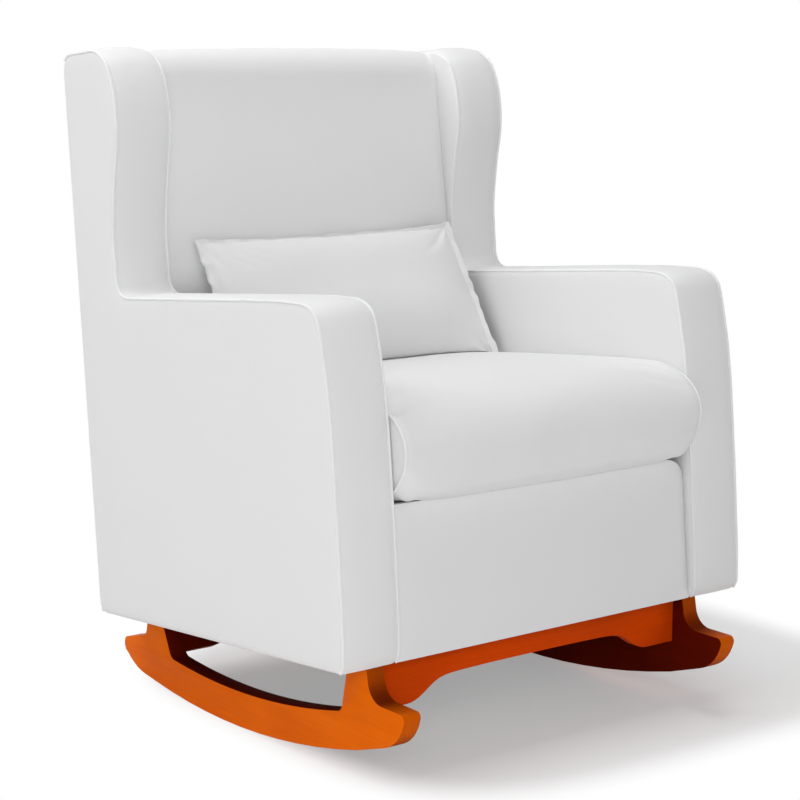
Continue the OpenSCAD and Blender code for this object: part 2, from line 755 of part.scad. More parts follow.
// Ring of the cushion at s = -1 to 1 across, with the crown and the drawn-in sides
function cushion_ring(s, g) =
    [for (p = cushion_section(g))
        [
            s * (cushion_h - cushion_draw * sin(180 * min(1, max(0, cushion_depth(p[0]))))),
            p[0],
            p[1] + cushion_rise(s, p[0]) * (p[1] - cushion_low) / cushion_t
        ]];
gusset_bulge = 1.8;
module seat_cushion() color(fabric) in_body() {
    stations = [for (k = [1:cushion_rings - 1]) even(k, cushion_rings) * 0.985];
    rings = concat(
        [cushion_ring(-1, 3)],
        [cushion_ring(-0.992, 0.6)],
        [for (s = stations) cushion_ring(s, 0)],
        [cushion_ring(0.992, 0.6)],
        [cushion_ring(1, 3)]
    );
    n = len(rings[0]);
    m = len(rings);
    caps = [for (s = [-1, 1])
        [s * (cushion_h + gusset_bulge - cushion_draw), (cushion_front_v + cushion_back_v) / 2,
            cushion_low + cushion_t / 2]];
    sides = [for (i = [0:m - 2], k = [0:n - 1])
        let (a = i * n + k, b = i * n + (k + 1) % n)
        each [[a, b + n, b], [a, a + n, b + n]]];
    ends = [for (k = [0:n - 1])
        each [[m * n, k, (k + 1) % n], [m * n + 1, (m - 1) * n + (k + 1) % n, (m - 1) * n + k]]];
    polyhedron(points = concat([for (r = rings) each r], caps), faces = concat(sides, ends));
}
// Outline of the cushion where a welt's inner side lies, drawn in by g
welt_in_u = cushion_h - cushion_draw - welt_w;
function gusset_outline(g) = [for (p = cushion_ring(welt_in_u / cushion_h, g)) [p[1], p[2]]];
// Cord round each gusset
module seat_cushion_welts() color(fabric_shade) in_body() both_sides()
    across(-welt_in_u - welt_w, -welt_in_u) difference() {
        polygon(gusset_outline(-welt_out));
        polygon(gusset_outline(-loose_gap));
        span2([-big, -big], [big, cushion_low]);
    }
zip_in = 62;
zip_w = 24;
zip_t = 1.5;
puller = [26, 2, 10];
module seat_cushion_zip() color(lining) in_body() {
    zip_half = cushion_h - zip_in;
    mid = cushion_low + cushion_t / 2;
    span3([-zip_half, cushion_back_v, mid - zip_w / 2], [zip_half, cushion_back_v + zip_t, mid + zip_w / 2]);
    translate([zip_half - puller[0] - zip_t, cushion_back_v + zip_t, mid - puller[2] / 2]) cube(puller);
}

// Lumbar pillow: knife-edged, with a flat stitched flange, in its own frame (across, through, up)
pillow_bottom_w = 2 * (inner_u - pillow_side_gap);
pillow_top_w = pillow_bottom_w - pillow_taper;
pillow_v = back_edge_v - pillow_back_gap;
pillow_grid_x = 30;
pillow_grid_y = 18;
flange_t = 3;
pillow_draw = 5;
function pillow_half_w(y) = (pillow_bottom_w + (pillow_top_w - pillow_bottom_w) * (y + 1) / 2) / 2;
function pillow_puff(x, y) =
    let (
        fx = pillow_flange / (pillow_top_w / 2),
        fy = pillow_flange / (pillow_h / 2),
        px = min(1, abs(x) / (1 - fx)),
        py = min(1, abs(y) / (1 - fy))
    )
    flange_t / 2 + (pillow_t - flange_t) / 2 * pow((1 - pow(px, 3)) * (1 - pow(py, 2.4)), 0.55);
function pillow_point(i, j, side) =
    let (
        x = edge_dense(even(i, pillow_grid_x)),
        y = edge_dense(even(j, pillow_grid_y))
    )
    [
        x * (pillow_half_w(y) - pillow_draw * (1 - y * y)),
        side * pillow_puff(x, y),
        pillow_h / 2 * (y + 1) - (y > 0 ? pillow_draw * y * (1 - x * x) : 0)
    ];
pillow_w = cushion_top(0, pillow_v) + soft_gap + flange_t / 2 * sin(pillow_lean);
module at_pillow() {
    in_body() translate([0, pillow_v, pillow_w]) rotate([-pillow_lean, 0, 0]) children();
}
module lumbar_pillow() color(fabric) at_pillow() {
    front = [for (i = [0:pillow_grid_x], j = [0:pillow_grid_y]) pillow_point(i, j, -1)];
    back = [for (i = [0:pillow_grid_x], j = [0:pillow_grid_y]) pillow_point(i, j, 1)];
    padded_sheet(front, back, pillow_grid_x, pillow_grid_y);
}
pillow_zip_in = 112;
pillow_zip_w = 4;
module lumbar_pillow_zip() color(lining) at_pillow()
    let (zip_half = pillow_bottom_w / 2 - pillow_zip_in)
    span3([-zip_half, flange_t / 2, over], [zip_half, flange_t / 2 + 1, over + pillow_zip_w]);

color(lacquered) rocker_body();  // left_rocker
color(lacquered) mirror([1, 0, 0]) rocker_body();  // right_rocker
front_crossrail();
rear_crossrail();
front_mounting_cleat();
rear_mounting_cleat();
crossrail_dowels();
base_bolts();
base_tee_nuts();
front_post();  // left_front_post
mirror([1, 0, 0]) front_post();  // right_front_post
side_rail();  // left_side_rail
mirror([1, 0, 0]) side_rail();  // right_side_rail
arm_rail();  // left_arm_rail
mirror([1, 0, 0]) arm_rail();  // right_arm_rail
wing_board();  // left_wing_board
mirror([1, 0, 0]) wing_board();  // right_wing_board
rear_post();  // left_rear_post
mirror([1, 0, 0]) rear_post();  // right_rear_post
front_seat_rail();
rear_seat_rail();
lower_back_rail();
top_back_rail();
outside_back_board();
front_base_board();
rear_base_board();
corner_blocks();
seat_webbing_lengthwise();
seat_webbing_crosswise();
back_webbing();
side_foam();  // left_side_foam
mirror([1, 0, 0]) side_foam();  // right_side_foam
outer_panel();  // left_outer_panel
mirror([1, 0, 0]) outer_panel();  // right_outer_panel
border();  // left_border
mirror([1, 0, 0]) border();  // right_border
inner_panel();  // left_inner_panel
mirror([1, 0, 0]) inner_panel();  // right_inner_panel
outer_welt();  // left_outer_welt
mirror([1, 0, 0]) outer_welt();  // right_outer_welt
inner_welt();  // left_inner_welt
mirror([1, 0, 0]) inner_welt();  // right_inner_welt
front_panel();
seat_deck();
inside_back();
back_top_border();
outside_back();
dust_cover();
seat_cushion();
seat_cushion_welts();
seat_cushion_zip();
lumbar_pillow();
lumbar_pillow_zip();
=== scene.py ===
"""Nursing rocking chair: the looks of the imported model, laid out as an add-on and run as a script."""

import json
import math

import bpy
import numpy as np
from mathutils import Matrix, Vector, noise
from mathutils.geometry import delaunay_2d_cdt


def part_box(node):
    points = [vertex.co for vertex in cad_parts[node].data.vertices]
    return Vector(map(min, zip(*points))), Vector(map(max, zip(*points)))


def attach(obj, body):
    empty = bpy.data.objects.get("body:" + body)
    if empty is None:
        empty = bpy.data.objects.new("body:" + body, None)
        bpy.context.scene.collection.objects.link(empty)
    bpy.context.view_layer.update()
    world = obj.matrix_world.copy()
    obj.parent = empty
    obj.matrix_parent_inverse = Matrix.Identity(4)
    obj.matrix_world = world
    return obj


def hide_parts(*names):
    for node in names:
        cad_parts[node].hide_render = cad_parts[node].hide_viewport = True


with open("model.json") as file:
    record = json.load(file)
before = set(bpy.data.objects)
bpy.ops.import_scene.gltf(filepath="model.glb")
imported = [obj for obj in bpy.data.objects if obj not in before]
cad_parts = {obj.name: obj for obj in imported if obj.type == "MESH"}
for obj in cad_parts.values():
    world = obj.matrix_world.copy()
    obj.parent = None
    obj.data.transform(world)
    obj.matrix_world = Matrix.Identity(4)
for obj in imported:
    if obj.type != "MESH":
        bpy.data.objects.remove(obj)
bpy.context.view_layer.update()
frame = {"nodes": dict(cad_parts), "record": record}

bl_info = {
    "name": "Nursing Rocking Chair",
    "version": (1, 0, 0),
    "blender": (4, 5, 0),
    "location": "3D View > Sidebar > Rocking Chair",
    "description": "Builds the covers, woodwork and studio of a nursing rocking chair around its frame",
    "category": "Object",
}

# The upholstered body is square in its own frame (across, back, up) and leans back as a whole
BODY_TILT = math.radians(5.1)
BODY_FRONT_Z = 0.1762
MID_Y = -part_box("front_panel")[0].y
BODY_PLACE = Matrix.Translation((0, -MID_Y, BODY_FRONT_Z)) @ Matrix.Rotation(-BODY_TILT, 4, "X")

HALF_W = 0.370
ARM_T = 0.094
INNER_U = HALF_W - ARM_T
BODY_D = 0.651
SIDE_H = 0.862
ARM_H = 0.492
DECK_H = 0.2125
DECK_CORNER_R = 0.038
BACK_EDGE_V = 0.527
BACK_RAKE = 0.0385
BACK_TOP_R = 0.042
BACK_FOOT_R = 0.018
BACK_EDGE_R = 0.024

# Side profile from the arm's foot up its front, over arm and wing to the back foot: (back, up, radius)
SIDE_PATH = [
    (0.0010, 0.0, 0),
    (-0.0078, 0.012, 0.020),
    (-0.0108, 0.060, 0.30),
    (-0.0124, 0.180, 0.90),
    (-0.0112, 0.320, 0.60),
    (-0.0082, 0.376, 0.20),
    (0.0008, 0.4420, 0.12),
    (0.0050, 0.4650, 0.020),
    (0.0110, 0.4745, 0.012),
    (0.0205, 0.4820, 0.020),
    (0.0380, 0.4880, 0.050),
    (0.0900, 0.4912, 0.200),
    (0.160, ARM_H, 0.0),
    (0.530, ARM_H, 0.028),
    (0.530, 0.600, 0.120),
    (0.5155, 0.672, 0.200),
    (0.4974, 0.735, 0.060),
    (0.4985, 0.790, 0.060),
    (0.512, 0.838, 0.050),
    (0.548, SIDE_H, 0.040),
    (BODY_D, SIDE_H, BACK_EDGE_R),
    (BODY_D, 0.0, 0),
]

# Steps between the points of the side's edge, of an outline, and of what fills a panel
SIDE_STEP = 0.001
OUTLINE_STEP = 0.006
FILL_STEP = 0.012

# How deep the covers dip beside the piping, and how far from it
SEAM_DEPTH = 0.0034
SEAM_REACH = 0.0022

# Lining under the seat, a little inside the edges of the body
DUST_HALF = 0.3605
DUST_FRONT = 0.0125
DUST_BACK = 0.6425

# The deck's pad stands this high at its edges, on this underside
DECK_EDGE_UP = 0.1922
DECK_UNDER = 0.1915

CUSHION_HALF = 0.272
CUSHION_LOW = 0.2129
CUSHION_T = 0.147
CUSHION_MID = CUSHION_LOW + CUSHION_T / 2
CUSHION_FRONT = -0.0455
CUSHION_BACK = 0.505
CUSHION_CROWN = 0.009
CUSHION_DRAW = 0.0015
CUSHION_STEP = 0.006
CUSHION_CAP = 0.0055

PILLOW_BOTTOM_W = 0.524
PILLOW_TOP_W = 0.490
PILLOW_H = 0.230
PILLOW_T = 0.084
PILLOW_FLANGE = 0.012
PILLOW_FLANGE_UP = 0.0065
PILLOW_FLANGE_LOW = 0.010
PILLOW_SEAM_LOW = 1 - PILLOW_FLANGE_LOW / (PILLOW_H / 2)
PILLOW_STAND = 0.002
PILLOW_HEM = 0.002
PILLOW_V = 0.405
PILLOW_LEAN = math.radians(25.8)
PILLOW_COLUMNS = 129
PILLOW_ROWS = 65
PILLOW_CAP = 0.006

# Half the length of the cushion's zip and half the width of its tape; the pillow's faces further down
ZIP_HALF = 0.21
TAPE_HALF = 0.011
PILLOW_ZIP_TILT = PILLOW_LEAN + 0.72

# Underside of the runner's tail, which goes on in its arc before it rounds up: (back, up)
TAIL_ENDS = ((0.2520, 0.0103), (0.3378, 0.0371))
TAIL_UP = (0.0117, 0.0129, 0.0141, 0.0159, 0.0189, 0.0233, 0.0290)

# Lower edge of the front crossrail from its middle outwards: (across, up)
RAIL_EDGE = [
    (0, 0.1305), (0.060, 0.1304), (0.100, 0.1300), (0.130, 0.1294), (0.148, 0.1286),
    (0.160, 0.1273), (0.170, 0.1249), (0.179, 0.1211), (0.188, 0.1155), (0.197, 0.1091),
    (0.206, 0.1037), (0.214, 0.1003), (0.221, 0.0986), (0.229, 0.0981), (0.2813, 0.0980),
]
# The crossrail is drawn this much too high before it is cut along the seat
RAIL_SPARE = 0.02

CAMERA_PLACE = (-1.8601, -2.4327, 0.9825)
CAMERA_YAW = math.radians(37.11)
CAMERA_PITCH = math.radians(9.68)
CAMERA_LENS = 91.63
CAMERA_SENSOR = 36

LAMPS = {
    "top": (0, 0, 3.6),
    "left": (-3.2, 0.2, 1.0),
    "left_back": (-1.6, 1.4, 2.9),
    "front": (-1.8, -3.0, 1.2),
    "right_front": (2.6, -2.4, 1.0),
}
LAMP_AIM = Vector((0, 0, 0.45))

FLOOR_SIZE = 24
FLOOR_Z = -0.0002
# The floor's shadow shows inside a rounded rectangle of this middle and these half widths
SHADOW_MIDDLE = (0.21, -0.02)
SHADOW_REACH = (0.52, 0.47)
WHITE = (1, 1, 1, 1)

SIDES = (("left", -1), ("right", 1))
CLOTH_FRAMES = 20

# The finish of each material slot of the record
SLOT_FINISH = {
    "upholstery_fabric": "cover",
    "welt_fabric": "piping",
    "deck_cloth": "deck_lining",
    "dust_cloth": "dust_cloth",
    "zip_tape": "zip_tape",
    "zinc_steel": "zinc",
    "foam": "foam",
    "webbing": "webbing",
    "lacquered_wood": "lacquer_cross",
    "frame_timber": "timber_across",
}

# What the properties of one kind share
COLOUR = {"size": 3, "subtype": "COLOR", "min": 0, "max": 1}
LENGTH = {"precision": 4, "unit": "LENGTH"}
SHARE = {"min": 0, "max": 1, "subtype": "FACTOR"}
POWER = {"min": 0, "max": 500, "unit": "POWER"}


class UpholsterySettings(bpy.types.PropertyGroup):
    """Sizes and colours of the covers and their padding"""

    cover: bpy.props.FloatVectorProperty(
        name="Cover", description="Colour of the upholstery cover", default=(0.80, 0.80, 0.805), **COLOUR)
    welt: bpy.props.FloatVectorProperty(
        name="Piping", description="Colour of the bias-cut piping", default=(0.86, 0.86, 0.865), **COLOUR)
    deck: bpy.props.FloatVectorProperty(
        name="Deck cloth", description="Colour of the lining over the seat deck", default=(0.60, 0.60, 0.60),
        **COLOUR)
    dust: bpy.props.FloatVectorProperty(
        name="Dust cloth", description="Colour of the cloth under the seat", default=(0.03, 0.03, 0.032),
        **COLOUR)
    thread_pitch: bpy.props.FloatProperty(
        name="Thread pitch", description="Distance between two threads of the cover", default=0.0009,
        min=0.0004, max=0.003, **LENGTH)
    piping_r: bpy.props.FloatProperty(
        name="Piping radius", description="Radius of the cord in the seams", default=0.0019,
        min=0.001, max=0.004, **LENGTH)
    arm_crown: bpy.props.FloatProperty(
        name="Arm crown", description="How far the border swells over the arms", default=0.0045,
        min=0, max=0.008, **LENGTH)
    wing_crown: bpy.props.FloatProperty(
        name="Wing crown", description="How far the border swells over the wings", default=0.0058,
        min=0, max=0.010, **LENGTH)
    back_crown: bpy.props.FloatProperty(
        name="Back crown", description="How far the inside back swells at its middle", default=0.024,
        min=0.01, max=0.028, **LENGTH)


class LooseSettings(bpy.types.PropertyGroup):
    """Stuffing of the seat cushion and the lumbar pillow"""

    cushion_pressure: bpy.props.FloatProperty(
        name="Cushion pressure", description="How hard the stuffing pushes on the cushion's cover",
        default=4.0, min=0, max=10)
    cushion_fill: bpy.props.FloatProperty(
        name="Cushion fill", description="How tight the seat cushion is stuffed", default=0.9, **SHARE)
    pillow_pressure: bpy.props.FloatProperty(
        name="Pillow pressure", description="How hard the stuffing pushes on the pillow's cover",
        default=4.0, min=0, max=10)
    pillow_fill: bpy.props.FloatProperty(
        name="Pillow fill", description="How tight the lumbar pillow is stuffed", default=0.6, **SHARE)


class WoodSettings(bpy.types.PropertyGroup):
    """Finish of the rockers and the inner frame"""

    lacquer: bpy.props.FloatVectorProperty(
        name="Lacquer", description="Colour of the lacquered rockers", default=(0.90, 0.160, 0.0006),
        **COLOUR)
    lacquer_dark: bpy.props.FloatVectorProperty(
        name="Dark grain", description="Colour of the darker grain lines", default=(0.76, 0.118, 0.0006),
        **COLOUR)
    apron: bpy.props.FloatVectorProperty(
        name="Crossrail lacquer", description="Colour of the crossrails, whose wood took more of the stain",
        default=(0.70, 0.062, 0.001), **COLOUR)
    # Painted shade: faces under the seat and in the rockers' hollows get this dark colour in place of their
    # shade, rather than a stain on bare wood
    inside: bpy.props.FloatVectorProperty(
        name="Inside stain", description="Colour of the faces under the seat, stained and left unlacquered",
        default=(0.125, 0.006, 0.0008), **COLOUR)
    timber: bpy.props.FloatVectorProperty(
        name="Frame timber", description="Colour of the plain timber inside", default=(0.62, 0.45, 0.26),
        **COLOUR)
    easing: bpy.props.FloatProperty(
        name="Eased edges", description="Width of the rounding along the sawn edges", default=0.0016,
        min=0.0005, max=0.004, **LENGTH)


class StudioSettings(bpy.types.PropertyGroup):
    """Lights and floor"""

    ambient: bpy.props.FloatProperty(
        name="Ambient", description="Strength of the even light from all sides", default=0.20, min=0, max=2)
    top: bpy.props.FloatProperty(
        name="Top light", description="Power of the large light overhead", default=45.0, **POWER)
    left: bpy.props.FloatProperty(
        name="Left light", description="Power of the large light low on the left", default=16.0, **POWER)
    left_back: bpy.props.FloatProperty(
        name="Left back light", description="Power of the large light high at the left back", default=40.0,
        **POWER)
    front: bpy.props.FloatProperty(
        name="Front light", description="Power of the large light ahead of the chair", default=44.0, **POWER)
    right_front: bpy.props.FloatProperty(
        name="Right front light", description="Power of the large light at the right front", default=13.0,
        **POWER)
    lamp_size: bpy.props.FloatProperty(
        name="Lamp size", description="Width of each large light", default=2.0, min=0.2, max=5, unit="LENGTH")
    floor_white: bpy.props.FloatProperty(
        name="Floor lift", description="White that the camera sees on the floor besides its lit colour",
        default=0.30, **SHARE)


# Lines and meshes

def unit(v):
    """Vector of length one."""
    return v / np.linalg.norm(v)


def rounded(corners, closed=True, step=4.0):
    """Outline through corners (x, y, radius), each replaced by its arc in steps of some degrees."""
    count, line = len(corners), []
    for i, (x, y, radius) in enumerate(corners):
        here = np.array((x, y), float)
        if radius <= 0 or (not closed and i in (0, count - 1)):
            line.append(here)
            continue
        into = unit(here - np.array(corners[i - 1][:2]))
        out = unit(np.array(corners[(i + 1) % count][:2]) - here)
        turn = math.atan2(into[0] * out[1] - into[1] * out[0], float(into @ out))
        start = here - into * radius * math.tan(abs(turn) / 2)
        centre = start + math.copysign(radius, turn) * np.array((-into[1], into[0]))
        first = math.atan2(start[1] - centre[1], start[0] - centre[0])
        steps = max(2, math.ceil(math.degrees(abs(turn)) / step))
        angles = first + turn * np.arange(steps + 1) / steps
        line.extend(centre + radius * np.stack((np.cos(angles), np.sin(angles)), axis=1))
    return np.array(line)


def lengths(line):
    """Distance along the line of each of its points."""
    return np.concatenate(([0], np.cumsum(np.linalg.norm(np.diff(line, axis=0), axis=1))))


def spaced(line, step, closed=False):
    """The same line with its points an even step apart."""
    if closed:
        line = np.vstack((line, line[:1]))
    along = lengths(line)
    count = max(3, round(along[-1] / step))
    places = np.linspace(0, along[-1], count + 1)
    if closed:
        places = places[:-1]
    return np.stack([np.interp(places, along, axis) for axis in line.T], axis=1)


def headings(line, closed=False):
    """Unit direction of the line at each of its points."""
    if closed:
        ahead = np.roll(line, -1, axis=0) - np.roll(line, 1, axis=0)
    else:
        ahead = np.gradient(line, axis=0)
    return ahead / np.linalg.norm(ahead, axis=1)[:, None]


def left_normals(line, closed=False):
    """Unit normals to the left of a plane line."""
    ahead = headings(line, closed)
    return np.stack((-ahead[:, 1], ahead[:, 0]), axis=1)


def smooth(x, low, high):
    """0 below low, 1 above high, and a soft step between."""
    t = np.clip((x - low) / (high - low), 0, 1)
    return t * t * (3 - 2 * t)


def spread(count):
    """Places from -1 to 1 that lie closer together towards both ends."""
    return np.sin(np.linspace(-1, 1, count) * np.pi / 2)


def ripple(points, scale, seed):
    """Smooth noise from -1 to 1 at each point, of a plane or of space."""
    spots = np.zeros((len(points), 3))
    spots[:, :points.shape[1]] = points
    return np.array([noise.noise(Vector(spot)) for spot in spots * scale + (seed, -seed, 0)])


def in_body(points):
    """Points (across, back, up) of the leaning body, in the chair's frame."""
    turn = np.array(BODY_PLACE.to_3x3())
    return np.asarray(points) @ turn.T + np.array(BODY_PLACE.translation)


def make_mesh(name, points, faces, uvs, period=0.0):
    """A new object from points and faces, with a cloth map in metres that starts again after a period."""
    mesh = bpy.data.meshes.new(name)
    mesh.from_pydata(np.asarray(points, float).tolist(), [], faces)
    index = np.zeros(len(mesh.loops), int)
    mesh.loops.foreach_get("vertex_index", index)
    flat = np.asarray(uvs, float)[index]
    if period:
        start = np.zeros(len(mesh.polygons), int)
        mesh.polygons.foreach_get("loop_start", start)
        owner = np.searchsorted(start, np.arange(len(index)), side="right") - 1
        highest = np.maximum.reduceat(flat[:, 1], start)[owner]
        flat[:, 1] += np.where(highest - flat[:, 1] > period / 2, period, 0)
    mesh.uv_layers.new(name="cloth").data.foreach_set("uv", flat.astype(np.float32).ravel())
    mesh.validate()
    piece = bpy.data.objects.new(name, mesh)
    bpy.context.scene.collection.objects.link(piece)
    return piece


def alone(piece):
    """Makes the piece the one selected and active object."""
    bpy.ops.object.select_all(action="DESELECT")
    piece.select_set(True)
    bpy.context.view_layer.objects.active = piece


def smoothed(piece, angle):
    """Smooth shading, except over edges sharper than the angle."""
    alone(piece)
    bpy.ops.object.shade_smooth_by_angle(angle=math.radians(angle))
    return piece


def body_piece(name, mesh, angle=60, side=-1):
    """A piece from a mesh of the leaning body (points, faces, map), or from its mirror image if side is 1."""
    points, faces, uvs = mesh
    if side > 0:
        points, faces = points * (-1, 1, 1), [face[::-1] for face in faces]
    return smoothed(make_mesh(name, in_body(points), faces, uvs), angle)


def settled(piece, points, angle):
    """Moves the piece's points to their last places in the leaning body, and shades it."""
    piece.data.vertices.foreach_set("co", in_body(points).astype(np.float32).ravel())
    piece.data.update()
    return smoothed(piece, angle)


def join_parts(parts):
    """One set of points, faces and map from several."""
    faces, first = [], 0
    for points, own, _ in parts:
        faces += [[i + first for i in face] for face in own]
        first += len(points)
    return np.vstack([part[0] for part in parts]), faces, np.vstack([part[2] for part in parts])


def grid_faces(rows, columns, wrap=False):
    """Quads of a grid whose points are stored row by row."""
    last = columns if wrap else columns - 1
    return [[i * columns + j, i * columns + (j + 1) % columns,
             (i + 1) * columns + (j + 1) % columns, (i + 1) * columns + j]
            for i in range(rows - 1) for j in range(last)]


def both_faces(faces, count):
    """The faces, and the same turned round on a copy of their points that follows them."""
    return faces + [[i + count for i in face[::-1]] for face in faces]


def closed_faces(rows, columns):
    """Faces of a grid, of its copy behind it and of the rim between them."""
    count = rows * columns
    at = np.arange(count).reshape(rows, columns)
    rim = np.concatenate((at[0], at[1:, -1], at[-1, -2::-1], at[-2:0:-1, 0])).tolist()
    return (both_faces(grid_faces(rows, columns), count)
            + [[a, b, b + count, a + count] for a, b in zip(rim, rim[-1:] + rim[:-1])])


def shell(grid, thickness, uvs, facing):
    """Closed padded sheet: a grid of points that looks along facing, and its copy set back."""
    normals = np.cross(np.gradient(grid, axis=1), np.gradient(grid, axis=0))
    normals /= np.maximum(np.linalg.norm(normals, axis=2, keepdims=True), 1e-12)
    if np.sum(normals * facing) < 0:
        grid, uvs, normals = grid[:, ::-1], uvs[:, ::-1], -normals[:, ::-1]
    points = np.concatenate((grid, grid - normals * thickness)).reshape(-1, 3)
    return points, closed_faces(*grid.shape[:2]), np.concatenate((uvs, uvs)).reshape(-1, 2)


def grid_map(across, along):
    """Map of a grid from its columns' places across and its rows' places along."""
    return np.stack(np.broadcast_arrays(across, along[:, None]), axis=2)


def lofted(across, line, outward, rise, waves, thickness):
    """Padded cover over a plane line (back, up), raised off it, with waves (scale, seed, height, share)."""
    scale, seed, height, share = waves
    grid = np.zeros((*rise.shape, 3))
    grid[:, :, 0] = across
    grid[:, :, 1:] = line[:, None] + outward[:, None] * rise[:, :, None]
    wave = ripple(grid.reshape(-1, 3), scale, seed).reshape(rise.shape) * height
    grid[:, :, 1:] += outward[:, None] * (wave * share)[:, :, None]
    facing = np.column_stack((np.zeros(len(line)), outward))[:, None]
    return shell(grid, thickness, grid_map(across, lengths(line)), facing)


def tube(line, radius, sides=10, closed=False):
    """Round cord along a line of points in space."""
    ahead = headings(line, closed)
    side = np.cross(ahead, (1.0, 0, 0))
    side /= np.linalg.norm(side, axis=1)[:, None]
    up = np.cross(side, ahead)
    angles = 2 * np.pi * np.arange(sides) / sides
    c, s = np.cos(angles)[None, :, None], np.sin(angles)[None, :, None]
    rings = line[:, None] + radius * (c * side[:, None] + s * up[:, None])
    count = len(line)
    last = (count - 1) * sides
    faces = grid_faces(count, sides, wrap=True)
    if closed:
        faces += [[last + j, last + (j + 1) % sides, (j + 1) % sides, j] for j in range(sides)]
    else:
        faces += [list(range(sides)), list(range(last + sides - 1, last - 1, -1))]
    uvs = np.stack((np.repeat(lengths(line), sides), np.tile(radius * angles, count)), axis=1)
    return rings.reshape(-1, 3), [face[::-1] for face in faces], uvs


def distance_to(points, line):
    """Distance of each point to a line's points, and the nearest one's number."""
    away, near = [], []
    for part in np.array_split(points, len(points) // 2000 + 1):
        apart = np.linalg.norm(part[:, None] - line[None], axis=2)
        near.append(apart.argmin(axis=1))
        away.append(apart.min(axis=1))
    return np.concatenate(away), np.concatenate(near)


def filled(outline, spacing, rings=(0.0015, 0.0035, 0.007, 0.012, 0.018)):
    """Points, triangles and distances from the edge that fill a closed counter-clockwise outline.
    Rings of points lie at some depths along its edge."""
    fine = spaced(outline, 0.0015, closed=True)
    inward, fine_inward = left_normals(outline, closed=True), left_normals(fine, closed=True)

    def kept(spots, least):
        away, near = distance_to(spots, fine)
        inside = np.sum((spots - fine[near]) * fine_inward[near], axis=1) > 0
        return spots[inside & (away > least)]

    (low_x, low_y), (high_x, high_y) = outline.min(axis=0), outline.max(axis=0)
    columns = np.arange(low_x, high_x, spacing)
    rows = np.arange(low_y, high_y, spacing * 0.866)
    grid = np.array([(x + (spacing / 2 if k % 2 else 0), y) for k, y in enumerate(rows) for x in columns])
    points = np.vstack((outline, *(kept(outline + inward * depth, depth * 0.9) for depth in rings),
                        kept(grid, rings[-1] + spacing * 0.4)))
    rim = list(range(len(outline)))
    found = delaunay_2d_cdt([Vector(p) for p in points], list(zip(rim, rim[1:] + [0])), [rim], 1, 1e-7)
    vertices = np.array([tuple(v) for v in found[0]])
    faces = []
    for face in found[2]:
        a, b, c = (vertices[i] for i in face[:3])
        area = (b[0] - a[0]) * (c[1] - a[1]) - (b[1] - a[1]) * (c[0] - a[0])
        faces.append(list(face) if area > 0 else list(face)[::-1])
    away, _ = distance_to(vertices, fine)
    away[:len(outline)] = 0
    return vertices, faces, away


def slab(outline, spacing, height, thickness, place):
    """Closed padded panel over an outline. height gives its rise at (points, distances from the edge)."""
    flat, faces, away = filled(outline, spacing)
    count, rim = len(flat), len(outline)
    top = place(*flat.T, height(flat, away))
    under = place(*flat.T, np.full(count, -thickness))
    faces = both_faces(faces, count)
    faces += [[k, k + count, (k + 1) % rim + count, (k + 1) % rim] for k in range(rim)]
    return np.vstack((top, under)), faces, np.vstack((flat, flat))


def dress(piece, slot, *replaced, body="chair", fill=None, finish=None):
    """Gives a piece its finish, hangs it on the empty of the body it rides on, and hides the parts it
    replaces.
    """
    piece.data.materials.clear()
    piece.data.materials.append(finish_named(finish or SLOT_FINISH[slot]))
    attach(piece, body)
    if replaced:
        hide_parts(*replaced)
    return piece


# Materials

class Value:
    """A shader socket that can stand in an expression."""

    def __init__(self, finish, socket):
        self.finish, self.socket = finish, socket

    def math(self, operation, *others, turned=False):
        values = (*others, self) if turned else (self, *others)
        return self.finish.node("ShaderNodeMath", {"operation": operation}, dict(enumerate(values)))

    def __add__(self, other):
        return self.math("ADD", other)

    __radd__ = __add__

    def __mul__(self, other):
        return self.math("MULTIPLY", other)

    __rmul__ = __mul__

    def __sub__(self, other):
        return self.math("SUBTRACT", other)

    def __rsub__(self, other):
        return self.math("SUBTRACT", other, turned=True)

    def __pow__(self, other):
        return self.math("POWER", other)

    def step(self, low, high):
        """0 below low, 1 above high, and a soft step between."""
        return self.finish.node("ShaderNodeMapRange", {"interpolation_type": "SMOOTHSTEP"},
                                {"Value": self, "From Min": low, "From Max": high})

    def output(self, key):
        """Another output of the same node."""
        return Value(self.finish, self.socket.node.outputs[key])


